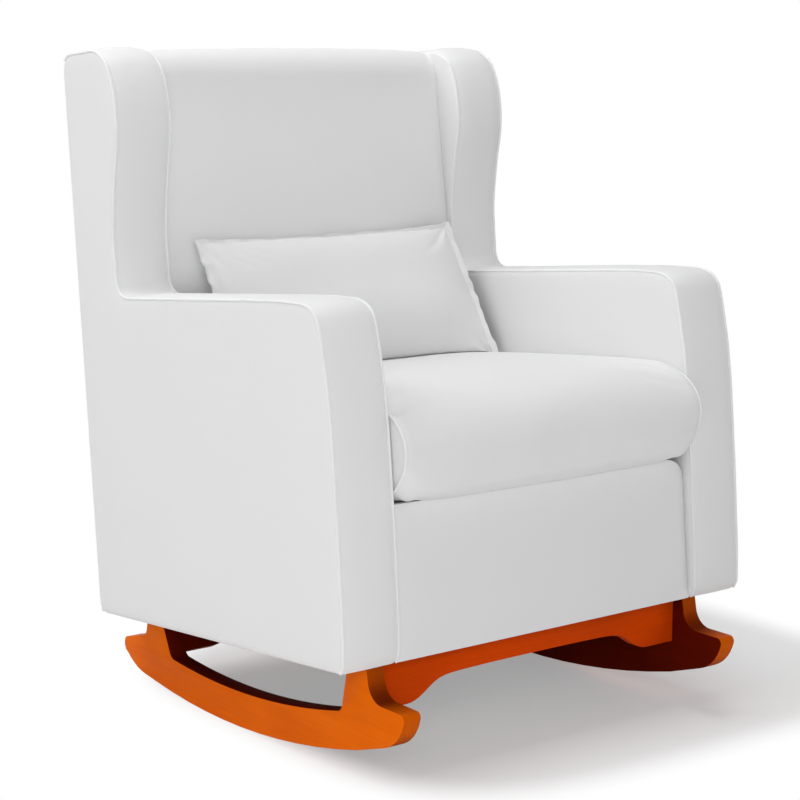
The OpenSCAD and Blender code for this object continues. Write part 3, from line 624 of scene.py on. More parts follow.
class Finish:
    """The nodes of a material or a world under construction."""

    def __init__(self, owner):
        self.owner = owner
        owner.use_nodes = True
        self.tree = owner.node_tree
        self.tree.nodes.clear()

    def node(self, kind, settings=None, inputs=None, output=0):
        """Adds a node, sets it up, and returns one of its outputs."""
        made = self.tree.nodes.new(kind)
        for key, value in (settings or {}).items():
            setattr(made, key, value)
        for key, value in (inputs or {}).items():
            if isinstance(value, Value):
                self.tree.links.new(value.socket, made.inputs[key])
            else:
                made.inputs[key].default_value = value
        return Value(self, made.outputs[output]) if len(made.outputs) else None

    def mapped(self, vector, scale, location=(0, 0, 0)):
        """A vector, stretched and moved."""
        return self.node("ShaderNodeMapping", None, {"Vector": vector, "Scale": scale, "Location": location})

    def place(self, scale=(1, 1, 1), location=(0, 0, 0)):
        """Object coordinates, stretched and moved."""
        return self.mapped(self.node("ShaderNodeTexCoord", output="Object"), scale, location)

    def along(self, grain, fine, long):
        """Object coordinates, fine across a grain along one axis (0, 1 or 2) and long on it."""
        return self.place([long if axis == grain else fine for axis in range(3)])

    def split(self, vector):
        """First two values of a vector."""
        x = self.node("ShaderNodeSeparateXYZ", None, {"Vector": vector})
        return x, x.output(1)

    def cloud(self, vector, scale, detail=2.0, roughness=0.5):
        """Soft noise from 0 to 1."""
        return self.node("ShaderNodeTexNoise", None,
                         {"Vector": vector, "Scale": scale, "Detail": detail, "Roughness": roughness})

    def blend(self, factor, first, second):
        """Colour between two colours."""
        return self.node("ShaderNodeMix", {"data_type": "RGBA"}, {0: factor, 6: first, 7: second}, output=2)

    def bump(self, height, distance, strength):
        """Normal that a height map gives."""
        return self.node("ShaderNodeBump", None,
                         {"Height": height, "Distance": distance, "Strength": strength})

    def done(self, **sockets):
        """Closes the material with its main shader."""
        inputs = {key.replace("_", " "): value for key, value in sockets.items()}
        surface = self.node("ShaderNodeBsdfPrincipled", None, inputs)
        self.node("ShaderNodeOutputMaterial", None, {"Surface": surface})
        return self.owner


def rgba(colour, share=1.0):
    """A colour, darkened by a share, with its alpha."""
    return (colour[0] * share, colour[1] * share, colour[2] * share, 1.0)


def woven_cloth(f, colour, pitch, relief=0.00012, slub=0.03, sheen=0.25):
    """Plain-woven cloth: crossing threads, thick and thin places along them, and a little fuzz."""
    spot = f.node("ShaderNodeUVMap", {"uv_map": "cloth"})
    x, y = f.split(spot)
    turn = 2 * math.pi / pitch
    threads = (x * turn).math("SINE") * (y * turn).math("SINE")
    slubs = (f.cloud(f.mapped(spot, (1, 26, 1)), 38) + f.cloud(f.mapped(spot, (26, 1, 1)), 38)) * 0.5
    mottle = f.cloud(f.place(), 9.0, 3.0)
    tone = (slubs - 0.5) * slub * 6 + (mottle - 0.5) * slub * 1.2 + threads * slub * 0.5
    return f.done(
        Base_Color=f.blend((tone + 0.5).step(0.0, 1.0), rgba(colour, 1 - slub * 1.6), rgba(colour, 1 + slub)),
        Roughness=(slubs - 0.5) * 0.1 + 0.86, Normal=f.bump(threads * 0.5 + slubs * 1.6, relief, 0.6),
        Sheen_Weight=sheen, Sheen_Roughness=0.5, Specular_IOR_Level=0.2)


def lacquered_wood(f, light, dark, inside, grain):
    """Stained, lacquered timber, with shade painted darker, and the lacquer rougher, where the piece's
    attribute inside says so.
    """
    rings = f.cloud(f.along(grain, 46.0, 1.6), 1.5, 4.0, 0.6)
    pores = f.cloud(f.along(grain, 520.0, 11.0), 1.0, 2.0, 0.6)
    broad = f.cloud(f.place(), 6.0)
    tone = rings.step(0.25, 0.75) * 0.28 + (1 - pores.step(0.25, 0.55)) * 0.22 + broad.step(0.3, 0.7) * 0.5
    share = tone.step(0.0, 1.0)
    # The attribute inside holds the painted shade: it darkens the colour towards the inside colour and
    # roughens the lacquer
    painted_shade = f.node("ShaderNodeAttribute", {"attribute_name": "inside"}, output="Fac")
    lacquer = f.blend(share, rgba(light), rgba(dark))
    return f.done(
        Base_Color=f.blend(painted_shade, lacquer, f.blend(share, rgba(inside), rgba(inside, 0.7))),
        Roughness=(1 - pores.step(0.2, 0.6)) * 0.08 + 0.42 + painted_shade * 0.25,
        Normal=f.bump(pores * 0.6 + rings * 0.4, 0.00010, 0.3),
        Specular_IOR_Level=0.05, Specular_Tint=(1.0, 0.35, 0.06, 1.0))


def plain_timber(f, colour, grain):
    """Planed, unfinished timber."""
    rings = f.cloud(f.along(grain, 60.0, 2.5), 1.0, 3.0, 0.6)
    knots = f.cloud(f.place((7, 7, 7)), 1.0)
    tone = (rings * 0.8 + knots * 0.4).step(0.35, 0.95)
    return f.done(Base_Color=f.blend(tone, rgba(colour, 1.12), rgba(colour, 0.74)),
                  Roughness=rings * 0.15 + 0.62, Normal=f.bump(rings, 0.0002, 0.5))


def open_foam(f, colour):
    """Cut polyurethane foam with its open cells."""
    cells = f.node("ShaderNodeTexVoronoi", {"feature": "DISTANCE_TO_EDGE"},
                   {"Vector": f.place(), "Scale": 420.0})
    return f.done(Base_Color=f.blend(cells.step(0.0, 0.25), rgba(colour, 0.72), rgba(colour)),
                  Roughness=0.95, Normal=f.bump(cells, 0.0008, 0.7))


def strap_web(f, colour):
    """Elastic webbing with crossing ribs."""
    spot = f.place()
    ribs = f.node("ShaderNodeTexWave", {"bands_direction": "X"}, {"Vector": spot, "Scale": 120.0})
    cross = f.node("ShaderNodeTexWave", {"bands_direction": "Y"}, {"Vector": spot, "Scale": 90.0})
    return f.done(Base_Color=f.blend(ribs * cross, rgba(colour, 0.8), rgba(colour, 1.5)),
                  Roughness=0.9, Normal=f.bump(ribs + cross, 0.0003, 0.6))


def spunbond(f, colour):
    """Thin non-woven lining with its pressed dots."""
    fibres = f.cloud(f.place(), 260.0, 4.0, 0.7)
    dots = f.node("ShaderNodeTexVoronoi", None, {"Vector": f.place(), "Scale": 500.0, "Randomness": 0.15})
    return f.done(Base_Color=f.blend(fibres.step(0.3, 0.7), rgba(colour, 0.8), rgba(colour, 1.7)),
                  Roughness=0.88, Normal=f.bump(dots + fibres, 0.0002, 0.6))


def zinc_plate(f):
    """Bright zinc plating with faint brushing."""
    streaks = f.cloud(f.place((900, 900, 60)), 1.0, 3.0)
    return f.done(Base_Color=f.blend(streaks, (0.52, 0.53, 0.56, 1), (0.70, 0.70, 0.71, 1)), Metallic=1.0,
                  Roughness=streaks * 0.2 + 0.28, Normal=f.bump(streaks, 0.00005, 0.4))


def finish_named(name):
    """A finish by its name, made on first use."""
    found = bpy.data.materials.get(name)
    if found:
        return found
    cloths = bpy.context.scene.chair_upholstery
    woods = bpy.context.scene.chair_wood
    pitch = cloths.thread_pitch
    makers = {
        "cover": lambda f: woven_cloth(f, cloths.cover, pitch),
        "piping": lambda f: woven_cloth(f, cloths.welt, pitch * 0.8, relief=0.0001),
        "deck_lining": lambda f: woven_cloth(f, cloths.deck, pitch * 0.7, slub=0.05, sheen=0.1),
        "zip_tape": lambda f: woven_cloth(f, (0.62, 0.62, 0.62), pitch * 0.6),
        "dust_cloth": lambda f: spunbond(f, cloths.dust),
        "lacquer_long": lambda f: lacquered_wood(f, woods.lacquer, woods.lacquer_dark, woods.inside, 1),
        "lacquer_cross": lambda f: lacquered_wood(f, woods.apron, rgba(woods.apron, 0.78), woods.inside, 0),
        "timber_across": lambda f: plain_timber(f, woods.timber, 0),
        "timber_back": lambda f: plain_timber(f, woods.timber, 1),
        "timber_up": lambda f: plain_timber(f, woods.timber, 2),
        "foam": lambda f: open_foam(f, (0.80, 0.70, 0.42)),
        "webbing": lambda f: strap_web(f, (0.10, 0.09, 0.08)),
        "zinc": zinc_plate,
    }
    return makers[name](Finish(bpy.data.materials.new(name)))


# Outlines of the chair

def softened(line, reach):
    """The side's edge with its short bends eased: each point moves to the mean of those within reach."""
    count = math.ceil(2 * reach / SIDE_STEP)
    weights = np.exp(-0.5 * (np.arange(-count, count + 1) * SIDE_STEP / reach) ** 2)
    weights /= weights.sum()
    ends = [np.repeat(end, count, axis=0) for end in (line[:1], line[-1:])]
    held = np.vstack((ends[0], line, ends[1]))
    return np.stack([np.convolve(axis, weights, mode="valid") for axis in held.T], axis=1)


def side_line():
    """The side's edge from the arm's foot over arm and wing down to the back foot."""
    line = spaced(rounded(SIDE_PATH, closed=False), SIDE_STEP)
    share = (smooth(line[:, 1], 0.55, 0.60) * (1 - smooth(line[:, 1], 0.82, 0.85)))[:, None]
    eased_line = softened(line, 0.007) * (1 - share) + softened(line, 0.016) * share
    inner = np.minimum(lengths(line), lengths(line)[-1] - lengths(line)) > 0.04
    top_corner = (line[:, 0] > 0.615) & (line[:, 1] > 0.82)
    return np.where((inner & ~top_corner)[:, None], eased_line, line)


def closed_side():
    """Outline of a side, counter-clockwise as (back, up)."""
    line = side_line()[::-1]
    foot = rounded([(BODY_D, 0.1, 0), (BODY_D, 0.0, BACK_FOOT_R), (0.5, 0.0, 0)], closed=False)
    return np.vstack((line[line[:, 1] > 0.02][:1], line[(line[:, 1] > 0.02) | (line[:, 0] < 0.3)],
                      [(0.3, 0.0)], foot[::-1][1:-1]))


def border_line(step):
    """The side's edge from the arm's foot over arm and wing to the middle of the top back corner."""
    line = side_line()
    reach = np.where((line[:, 0] > BODY_D - 0.0075) & (line[:, 1] > 0.8))[0][0]
    return spaced(line[:reach + 1], step)


def border_crown(line):
    """How far the border swells at each point of its line."""
    cloths = bpy.context.scene.chair_upholstery
    share = smooth(line[:, 1], 0.62, 0.80)
    foot = 0.1 + 0.9 * smooth(line[:, 1], 0.0, 0.045)
    return (cloths.arm_crown * (1 - share) + cloths.wing_crown * share) * foot


# Soft pieces fixed to the frame

def build_border(name, side):
    """Boxing strip up the arm front, over arm and wing, between the two piped seams."""
    line = border_line(0.005)
    s = spread(27)
    low_u, high_u = -HALF_W + 0.0022, -INNER_U - 0.0015
    u = (low_u + high_u) / 2 + s * (high_u - low_u) / 2
    bulge = 1 - np.abs(s) ** 3
    tuck = -SEAM_DEPTH * np.exp(-(1 - np.abs(s)) * (high_u - low_u) / 2 / 0.0016)
    rise = border_crown(line)[:, None] * bulge + tuck
    # Soft creases where the strip turns up from the arm into the hollow wing
    hollow = np.exp(-(((line[:, 0] - 0.512) / 0.030) ** 2 + ((line[:, 1] - 0.510) / 0.035) ** 2))
    creases = np.sin(lengths(line)[:, None] / 0.0062 + 1.1 * s) * 0.0011
    rise += hollow[:, None] * creases * np.cos(s * np.pi / 2)
    mesh = lofted(u, line, left_normals(line), rise, (16.0, 3.0, 0.0006, bulge), 0.009)
    return body_piece(name, mesh, 50, side)


def build_outer_panel(name, side):
    """Outer side of arm and wing in one piece, drawn over thin wadding."""
    def height(flat, away):
        soft = ripple(flat, 5.0, 11.0) * 0.0007 + ripple(flat, 17.0, 5.0) * 0.0003
        rise = 0.0020 - SEAM_DEPTH * np.exp(-away / SEAM_REACH) - 0.0012 * np.exp(-away / 0.009)
        return rise + soft * smooth(away, 0.0, 0.05)

    def place(x, y, rise):
        return np.column_stack((-HALF_W + 0.0012 - rise, x, y))

    outline = spaced(closed_side(), OUTLINE_STEP, closed=True)
    points, faces, uvs = slab(outline, FILL_STEP, height, 0.005, place)
    # Seen from outside, back is to the left, so the faces turn the other way round
    return body_piece(name, (points, [face[::-1] for face in faces], uvs), 50, side)


def build_inner_panel(name, side):
    """Inside of arm and wing, from the deck up."""
    def height(flat, away):
        rise = 0.0014 - SEAM_DEPTH * np.exp(-away / SEAM_REACH) - 0.0006 * np.exp(-away / 0.008)
        return rise + ripple(flat, 7.0, 21.0) * 0.0006 * smooth(away, 0.0, 0.04)

    def place(x, y, rise):
        return np.column_stack((-INNER_U + rise, x, y))

    back, front, deck = 0.640, 0.011, 0.190
    line = side_line()
    line = line[(line[:, 0] < back) & ((line[:, 1] > 0.45) | (line[:, 0] < 0.1))]
    corners = np.array([(back, SIDE_H - 0.001), (back, deck), (front, deck), (front, 0.0)])
    outline = spaced(np.vstack((line, corners))[::-1], OUTLINE_STEP, closed=True)
    return body_piece(name, slab(outline, FILL_STEP, height, 0.006, place), 50, side)


def build_welt(name, side, u, sink=0.0):
    """Piped cord in a seam of the border."""
    line = border_line(0.004)
    line[0] = line[0] * 0.6 + line[1] * 0.4
    outward = left_normals(line)
    sunk = sink * smooth(line[:, 1], 0.835, 0.858) - 0.0002
    points = np.column_stack((np.full(len(line), u), line - outward * sunk[:, None]))
    points[:, 1:] += outward * (ripple(points, 40.0, 1.0) * 0.00025)[:, None]
    return body_piece(name, tube(points, bpy.context.scene.chair_upholstery.piping_r), side=side)


def build_front_panel(name):
    """Front below the cushion, its top corners rounded down to the arms."""
    def height(flat, away):
        beside = INNER_U - np.abs(flat[:, 0])
        groove = SEAM_DEPTH * np.exp(-beside / 0.003) + 0.0025 * np.exp(-beside / 0.010)
        swell = 0.0030 * (1 - np.exp(-away / 0.009)) * (0.35 + 0.65 * smooth(flat[:, 1], 0.0, 0.03))
        soft = ripple(flat, 8.0, 31.0) * 0.0008 * smooth(away, 0.0, 0.04)
        return swell - groove * smooth(flat[:, 1], -0.005, 0.02) + soft

    def place(x, y, rise):
        return np.column_stack((x, -rise, y))

    half = INNER_U - 0.0006
    # The cushion hangs over the left corner, which is nearly square
    outline = rounded([(-half, 0.0, 0.0), (half, 0.0, 0.0), (half, DECK_H, DECK_CORNER_R),
                       (-half, DECK_H, 0.2 * DECK_CORNER_R)])
    outline = spaced(outline, OUTLINE_STEP, closed=True)
    return body_piece(name, slab(outline, 0.011, height, 0.0112, place), 50)


def build_inside_back(name):
    """Crowned inside back that rolls over the top in one piece."""
    top_v = BACK_EDGE_V + (SIDE_H - DECK_H) * BACK_RAKE
    path = [(BACK_EDGE_V, DECK_H + 0.001, 0), (top_v, SIDE_H, BACK_TOP_R), (BODY_D - 0.007, SIDE_H, 0.0)]
    line = spaced(rounded(path, closed=False, step=3), 0.006)
    along = lengths(line)
    top_start = np.argmax(line[:, 1] > SIDE_H - BACK_TOP_R - 0.001)
    h = 2 * np.clip(along / along[top_start], 0, 1) - 1
    low_half = np.sqrt(1 - np.abs(np.minimum(h, 0)) ** 4)
    fall = 1 - smooth(h, 0.35, 1.0) * 0.66
    front = bpy.context.scene.chair_upholstery.back_crown * low_half * fall
    over_top = smooth(line[:, 0], BACK_EDGE_V + 0.03, BODY_D - 0.03)
    crown = front * (1 - over_top) + 0.0075 * over_top
    last = smooth(BODY_D - line[:, 0], 0.007, 0.025)
    crown = np.where(line[:, 1] > SIDE_H - 0.002, crown * (0.25 + 0.75 * last), crown)
    s = spread(93)
    across = np.sqrt(1 - np.abs(s) ** 3)
    rise = crown[:, None] * across - 0.001
    waves = (6.0, 41.0, 0.0011, across)
    return body_piece(name, lofted(s * (INNER_U - 0.0004), line, left_normals(line), rise, waves, 0.010))


def build_outside_back(name):
    """Outside back, drawn tight and rolled forwards over the top edge."""
    corners = [(BODY_D, 0.001, 0), (BODY_D, SIDE_H, BACK_EDGE_R), (0.60, SIDE_H, 0)]
    line = spaced(rounded(corners, closed=False), SIDE_STEP)
    stop = np.where((line[:, 0] < BODY_D - 0.0065) & (line[:, 1] > 0.8))[0][0]
    line = spaced(line[:stop + 1], 0.009)
    along = lengths(line)
    s = spread(81)
    half = HALF_W - 0.0035
    edge = np.minimum((1 - np.abs(s)) * half, 0.2)
    ends = np.minimum(along, along[-1] - along)
    rise = 0.0022 * (1 - np.exp(-edge / 0.010)) * (1 - np.exp(-ends / 0.010))[:, None] - 0.0014
    waves = (6.0, 51.0, 0.0008, smooth(edge, 0, 0.04))
    return body_piece(name, lofted(s * half, line, -left_normals(line), rise, waves, 0.006))


def build_deck(name):
    """Lined pad of the seat deck under the cushion."""
    half = INNER_U - 0.0006
    foot = DECK_H - DECK_CORNER_R - 0.002
    section = rounded([(-half, foot, 0), (-half, DECK_H, DECK_CORNER_R), (half, DECK_H, DECK_CORNER_R),
                       (half, foot, 0)], closed=False, step=6)
    # Its edges turn out to the lining of the arms, above the webbing
    ends = [[(end * (half + 0.0008), DECK_EDGE_UP)] for _, end in SIDES]
    section = spaced(np.vstack((ends[0], section[section[:, 1] > DECK_UNDER + 0.002], ends[1])), 0.004)
    stations = np.arange(0.0125, 0.556, 0.009)
    grid = np.zeros((len(stations), len(section), 3))
    grid[:, :, ::2] = section
    grid[:, :, 1] = stations[:, None]
    sink = (ripple(grid.reshape(-1, 3), 9.0, 61.0).reshape(grid.shape[:2]) * 0.5 + 0.5) * 0.0012 + 0.0002
    grid[:, :, ::2] -= left_normals(section) * sink[:, :, None]
    depth = np.maximum(0.0009, section[:, 1] - DECK_UNDER)
    return body_piece(name, shell(grid, depth[:, None], grid_map(lengths(section), stations), (0, 0, 1)))


def build_dust_cover(name):
    """Lining stapled under the seat, with a slight sag between its edges."""
    us = np.linspace(-DUST_HALF, DUST_HALF, 61)
    vs = np.linspace(DUST_FRONT, DUST_BACK, 53)
    grid = np.zeros((len(vs), len(us), 3))
    grid[:, :, :2] = grid_map(us, vs)
    edge = np.minimum(DUST_HALF - np.abs(us), np.minimum(vs - DUST_FRONT, DUST_BACK - vs)[:, None])
    wave = ripple(grid.reshape(-1, 3), 13.0, 71.0).reshape(edge.shape)
    grid[:, :, 2] = 0.0006 + 0.0004 * wave * smooth(edge, 0.0, 0.03)
    return body_piece(name, shell(grid, 0.0004, grid_map(us, vs), (0, 0, -1)))


# Loose cushions

def inflate(piece, pressure, cap, pins):
    """Blows the cover up as cloth and returns its points, none moved further than the cap."""
    mesh = piece.data
    start = np.zeros(len(mesh.vertices) * 3)
    mesh.vertices.foreach_get("co", start)
    group = piece.vertex_groups.new(name="seam")
    for weight in np.unique(pins[pins > 0]):
        group.add(np.where(pins == weight)[0].tolist(), float(weight), "REPLACE")
    cloth = piece.modifiers.new("Stuffing", "CLOTH")
    settings = cloth.settings
    settings.quality = 6
    settings.mass = 0.25
    settings.tension_stiffness = settings.compression_stiffness = 12
    settings.shear_stiffness = 6
    settings.bending_stiffness = 0.6
    settings.use_pressure = True
    settings.uniform_pressure_force = pressure
    settings.effector_weights.gravity = 0
    settings.vertex_group_mass = "seam"
    cloth.collision_settings.use_collision = False
    cloth.point_cache.frame_start = 1
    cloth.point_cache.frame_end = CLOTH_FRAMES
    for number in range(1, CLOTH_FRAMES + 1):
        bpy.context.scene.frame_set(number)
    end = np.zeros(len(start))
    shown = piece.evaluated_get(bpy.context.evaluated_depsgraph_get())
    shown.data.vertices.foreach_get("co", end)
    piece.modifiers.remove(cloth)
    piece.vertex_groups.remove(group)
    bpy.context.scene.frame_set(1)
    start, end = start.reshape(-1, 3), end.reshape(-1, 3)
    move = end - start
    far = np.linalg.norm(move, axis=1)
    return start + move * (np.tanh(far / cap) * cap / np.maximum(far, 1e-9))[:, None]


def cushion_depth(v):
    """0 at the cushion's front and 1 at its back."""
    return np.clip((v - CUSHION_FRONT) / (CUSHION_BACK - CUSHION_FRONT), 0, 1)


def cushion_section(inset, full):
    """Section of the cushion as (back, up), from the middle of its back round by the bottom.
    full fills its low front, from 0 to 1."""
    half_t = CUSHION_T / 2 - inset
    front, back = CUSHION_FRONT + inset, CUSHION_BACK - inset
    heel, nose_low, nose_high = 0.034, 0.086, 0.108

    def arc(centre, reach, first, last, power=1.0):
        angles = np.radians(np.linspace(first, last, 60))
        c, w = (np.copysign(np.abs(t) ** power, t) for t in (np.cos(angles), np.sin(angles)))
        return np.column_stack((centre + reach * c, CUSHION_MID + half_t * w))

    return spaced(np.vstack((
        arc(back - heel, heel, 0, -90),
        arc(front + nose_low, -nose_low, -90, 0, 1 - 0.68 * full),
        arc(front + nose_high, -nose_high, 0, 90),
        arc(back - heel, heel, 90, 0)[:-1],
    )), CUSHION_STEP, closed=True)


def cushion_ring(s, inset, count):
    """Ring of so many points round the cushion at one place across, from -1 to 1."""
    ring = cushion_section(inset, 1 - abs(s) ** 14)
    across = np.sin(np.pi * cushion_depth(ring[:, 0]))
    rise = CUSHION_CROWN * (1 - np.abs(s) ** 4) * across ** 0.8
    lift = rise * (ring[:, 1] - CUSHION_LOW) / CUSHION_T
    line = np.column_stack((s * (CUSHION_HALF - CUSHION_DRAW * across), ring[:, 0], ring[:, 1] + lift))
    return spaced(line, lengths(np.vstack((line, line[:1])))[-1] / count, closed=True)[:count]


def cushion_mesh():
    """Points, faces and map of the cushion's cover, and the numbers of its rings and of their points."""
    count = len(cushion_section(0, 1.0))
    # Place across and inset of each ring: the last ones draw in to the seams of the gussets
    inner = [(s, 0.0020) for s in np.linspace(-1, 1, 89)[1:-1] * 0.985]
    places = [(-1, 0.0048), (-0.9945, 0.0030), *inner, (0.9945, 0.0030), (1, 0.0048)]
    grid = np.array([cushion_ring(s, inset, count) for s, inset in places])
    rows = len(grid)
    faces = [face[::-1] for face in grid_faces(rows, count, wrap=True)]
    points = [grid.reshape(-1, 3)]
    along = np.tile(np.arange(count) * CUSHION_STEP, rows)
    maps = [np.stack((np.repeat(grid[:, 0, 0], count), along), axis=1)]
    first = rows * count
    for (_, end), row in zip(SIDES, (0, rows - 1)):
        # The section runs clockwise, and a gusset is filled counter-clockwise
        rim = (np.arange(count) + row * count)[::-1]
        flat, fills, away = filled(grid[row][::-1, 1:], 0.0075, rings=(0.004, 0.009))
        flat, away = flat[count:], away[count:]
        draw = CUSHION_DRAW * np.sin(np.pi * cushion_depth(flat[:, 0]))
        bulge = 0.0035 * (1 - np.exp(-away / 0.012))
        points.append(np.column_stack((end * (CUSHION_HALF - draw - 0.0005 + bulge), flat)))
        maps.append(flat + (2.0, 0.0))
        number = np.concatenate((rim, first + np.arange(len(flat))))
        faces += [number[face[::end]].tolist() for face in fills]
        first += len(flat)
    return np.vstack(points), faces, np.vstack(maps), rows, count


def shape_cushion(points, rows, count):
    """Gives the inflated cushion its waves, gathers and dents, in the room between deck, arms and back."""
    cover = rows * count
    share = np.clip(np.abs(points[:, 0]) / CUSHION_HALF, 0, 1)
    on_top = smooth(points[:, 2], CUSHION_LOW + 0.05, CUSHION_LOW + 0.12)
    wave = ripple(points, 7.0, 81.0) * 0.0012 + ripple(points, 22.0, 83.0) * 0.0004
    points[:, 2] += wave * on_top * (1 - share ** 6)
    nose = smooth(-points[:, 1], -0.06, 0.03) * (1 - on_top)
    points[:, 2] += ripple(points[:, :1], 12.0, 87.0) * 0.0016 * nose
    front = smooth(-points[:, 1], -0.03, 0.02)
    points[:, 1] += ripple(points * (1, 0.3, 1), 10.0, 89.0) * 0.0014 * front
    # Gathers that fan out from the piped seams
    seam_away = (1 - share) * CUSHION_HALF
    around = np.zeros(len(points))
    around[:cover] = np.tile(np.arange(count) * CUSHION_STEP, rows)
    beat = ripple(np.column_stack((around, np.sign(points[:, 0]))), 34.0, 91.0)
    gather = beat * 0.0006 * np.exp(-seam_away / 0.016) * smooth(seam_away, 0.0, 0.004)
    gather[cover:] = 0
    points[:, 2] += gather * np.where(points[:, 2] > CUSHION_MID, 1, -1)
    # A dent where the left corner is pressed in beside the arm
    dent = (smooth(-points[:, 1], -0.050, -0.020) * smooth(share, 0.85, 0.97) * (points[:, 0] < 0)
            * smooth(points[:, 2], CUSHION_LOW + 0.118, CUSHION_LOW + 0.138))
    points[:, 2] -= 0.015 * dent
    points[:, 1] += 0.010 * dent
    # The lower corners hang a little in front of the seat
    low_corner = smooth(share, 0.86, 0.95) * smooth(-points[:, 1], 0.0045, 0.012)
    points[:, 2] -= 0.005 * low_corner * (1 - smooth(points[:, 2], CUSHION_LOW + 0.004, CUSHION_LOW + 0.030))
    # Flat where it rests on the deck, and clear of the arms and the back
    deck = CUSHION_LOW + 0.0002
    points[:, 2] = np.maximum(points[:, 2], np.where(points[:, 1] > -0.0045, deck, deck - 0.004))
    points[:, 0] = np.clip(points[:, 0], -CUSHION_HALF - 0.0016, CUSHION_HALF + 0.0016)
    points[:, 1] = np.minimum(points[:, 1], CUSHION_BACK + 0.001)


def build_cushion(name):
    """Seat cushion: one cover wrapped over top, front and bottom, with a gusset at each side."""
    points, faces, uvs, rows, count = cushion_mesh()
    piece = make_mesh(name, points, faces, uvs, period=count * CUSHION_STEP)
    last = (rows - 1) * count
    pins = np.zeros(len(points))
    pins[:count] = pins[last:last + count] = 1.0
    pins[count:2 * count] = pins[last - count:last] = 0.5
    points = inflate(piece, bpy.context.scene.chair_loose.cushion_pressure, CUSHION_CAP, pins)
    shape_cushion(points, rows, count)
    return settled(piece, points, 60), [points[:count], points[last:last + count]]


def build_cushion_piping(name, rims):
    """Piped cord round both gussets."""
    radius = bpy.context.scene.chair_upholstery.piping_r
    parts = []
    for rim in rims:
        line = spaced(rim, 0.0045, closed=True)
        centre = line.mean(axis=0)
        outward = (line - centre) * (0, 1, 1)
        outward /= np.linalg.norm(outward, axis=1)[:, None]
        path = line + outward * 0.0008
        path[:, 0] += np.sign(centre[0]) * 0.0003
        path[:, 2] = np.maximum(path[:, 2], CUSHION_LOW + radius + 0.0001)
        parts.append(tube(path, radius, closed=True))
    return body_piece(name, join_parts(parts))


def surface_over(piece, spots):
    """Height up the leaning body of the piece's highest surface at each (across, back), or 0 beside it."""
    down = BODY_PLACE.to_3x3() @ Vector((0, 0, -1))
    above = 0.6
    found = []
    for u, v in spots:
        start = BODY_PLACE @ Vector((u, v, above))
        hit, spot, _, _ = piece.ray_cast(start, down)
        found.append(above - (spot - start).length if hit else 0.0)
    return np.array(found)


def pillow_plan():
    """The pillow laid flat: its grid's places from -1 to 1 and as shares of the way to the stitched line,
    its places in metres, and how far its front and its back stand from the middle."""
    places = (np.linspace(-1, 1, count) for count in (PILLOW_COLUMNS, PILLOW_ROWS))
    x, y = np.meshgrid(*(0.4 * t + 0.6 * np.sin(t * np.pi / 2) for t in places))
    # The stitched line wanders a little, so the flange is uneven
    wander_x = ripple(np.column_stack((y.ravel(), np.sign(x.ravel()))), 3.1, 121.0).reshape(x.shape)
    wander_y = ripple(np.column_stack((x.ravel(), np.sign(y.ravel()))), 5.3, 123.0).reshape(x.shape)
    seam_x = 1 - PILLOW_FLANGE / (PILLOW_TOP_W / 2) + 0.009 * wander_x
    seam_up = 1 - PILLOW_FLANGE_UP / (PILLOW_H / 2) + 0.012 * wander_y
    seam_y = np.where(y > 0, seam_up, PILLOW_SEAM_LOW)
    px, py = np.minimum(1, np.abs(x) / seam_x), np.minimum(1, np.abs(y) / seam_y)
    beyond_seam = np.maximum(smooth(np.abs(x), seam_x, 1), smooth(np.abs(y), seam_y, 1))
    hem = PILLOW_HEM * (0.3 + 0.7 * beyond_seam)
    fuller = np.where(y > 0, 4.6, 2.2)
    puff = hem + (PILLOW_T / 2 - hem) * (1 - px ** 3.0) ** 0.6 * (1 - py ** fuller) ** 0.5
    belly = 0.012 * np.exp(-((y + 0.38) / 0.34) ** 2) * (1 - px ** 3.4) * (1 - py ** 4)
    # Outline: a waist at both ends, rounded corners, the right end a little further out
    half = (PILLOW_BOTTOM_W + (PILLOW_TOP_W - PILLOW_BOTTOM_W) * (y + 1) / 2) / 2
    round_off = 1 - 0.010 * (x * x * y * y) ** 9
    waist = np.where(x < 0, 0.015, 0.005) * (1 - y * y)
    right = smooth(x, 0, 1) * (0.005 + 0.002 * y)
    flat_x = x * (half - waist * np.abs(x) ** 3) * round_off + right
    lower = np.where(y < -PILLOW_SEAM_LOW, PILLOW_STAND - (-y - PILLOW_SEAM_LOW) * PILLOW_H / 2,
                     PILLOW_H / 2 + y / PILLOW_SEAM_LOW * (PILLOW_H / 2 - PILLOW_STAND))
    upper = PILLOW_H / 2 * (1 + y)
    flat_z = np.where(y < 0, lower, upper) - np.where(y > 0, 0.005 * y * (1 - x * x), 0)
    flat_z += 0.005 * smooth(x, 0.88, 1) * smooth(y, 0.7, 1)
    return (x, y, px, py, flat_x, flat_z), puff * 0.94 + belly, puff * 0.94


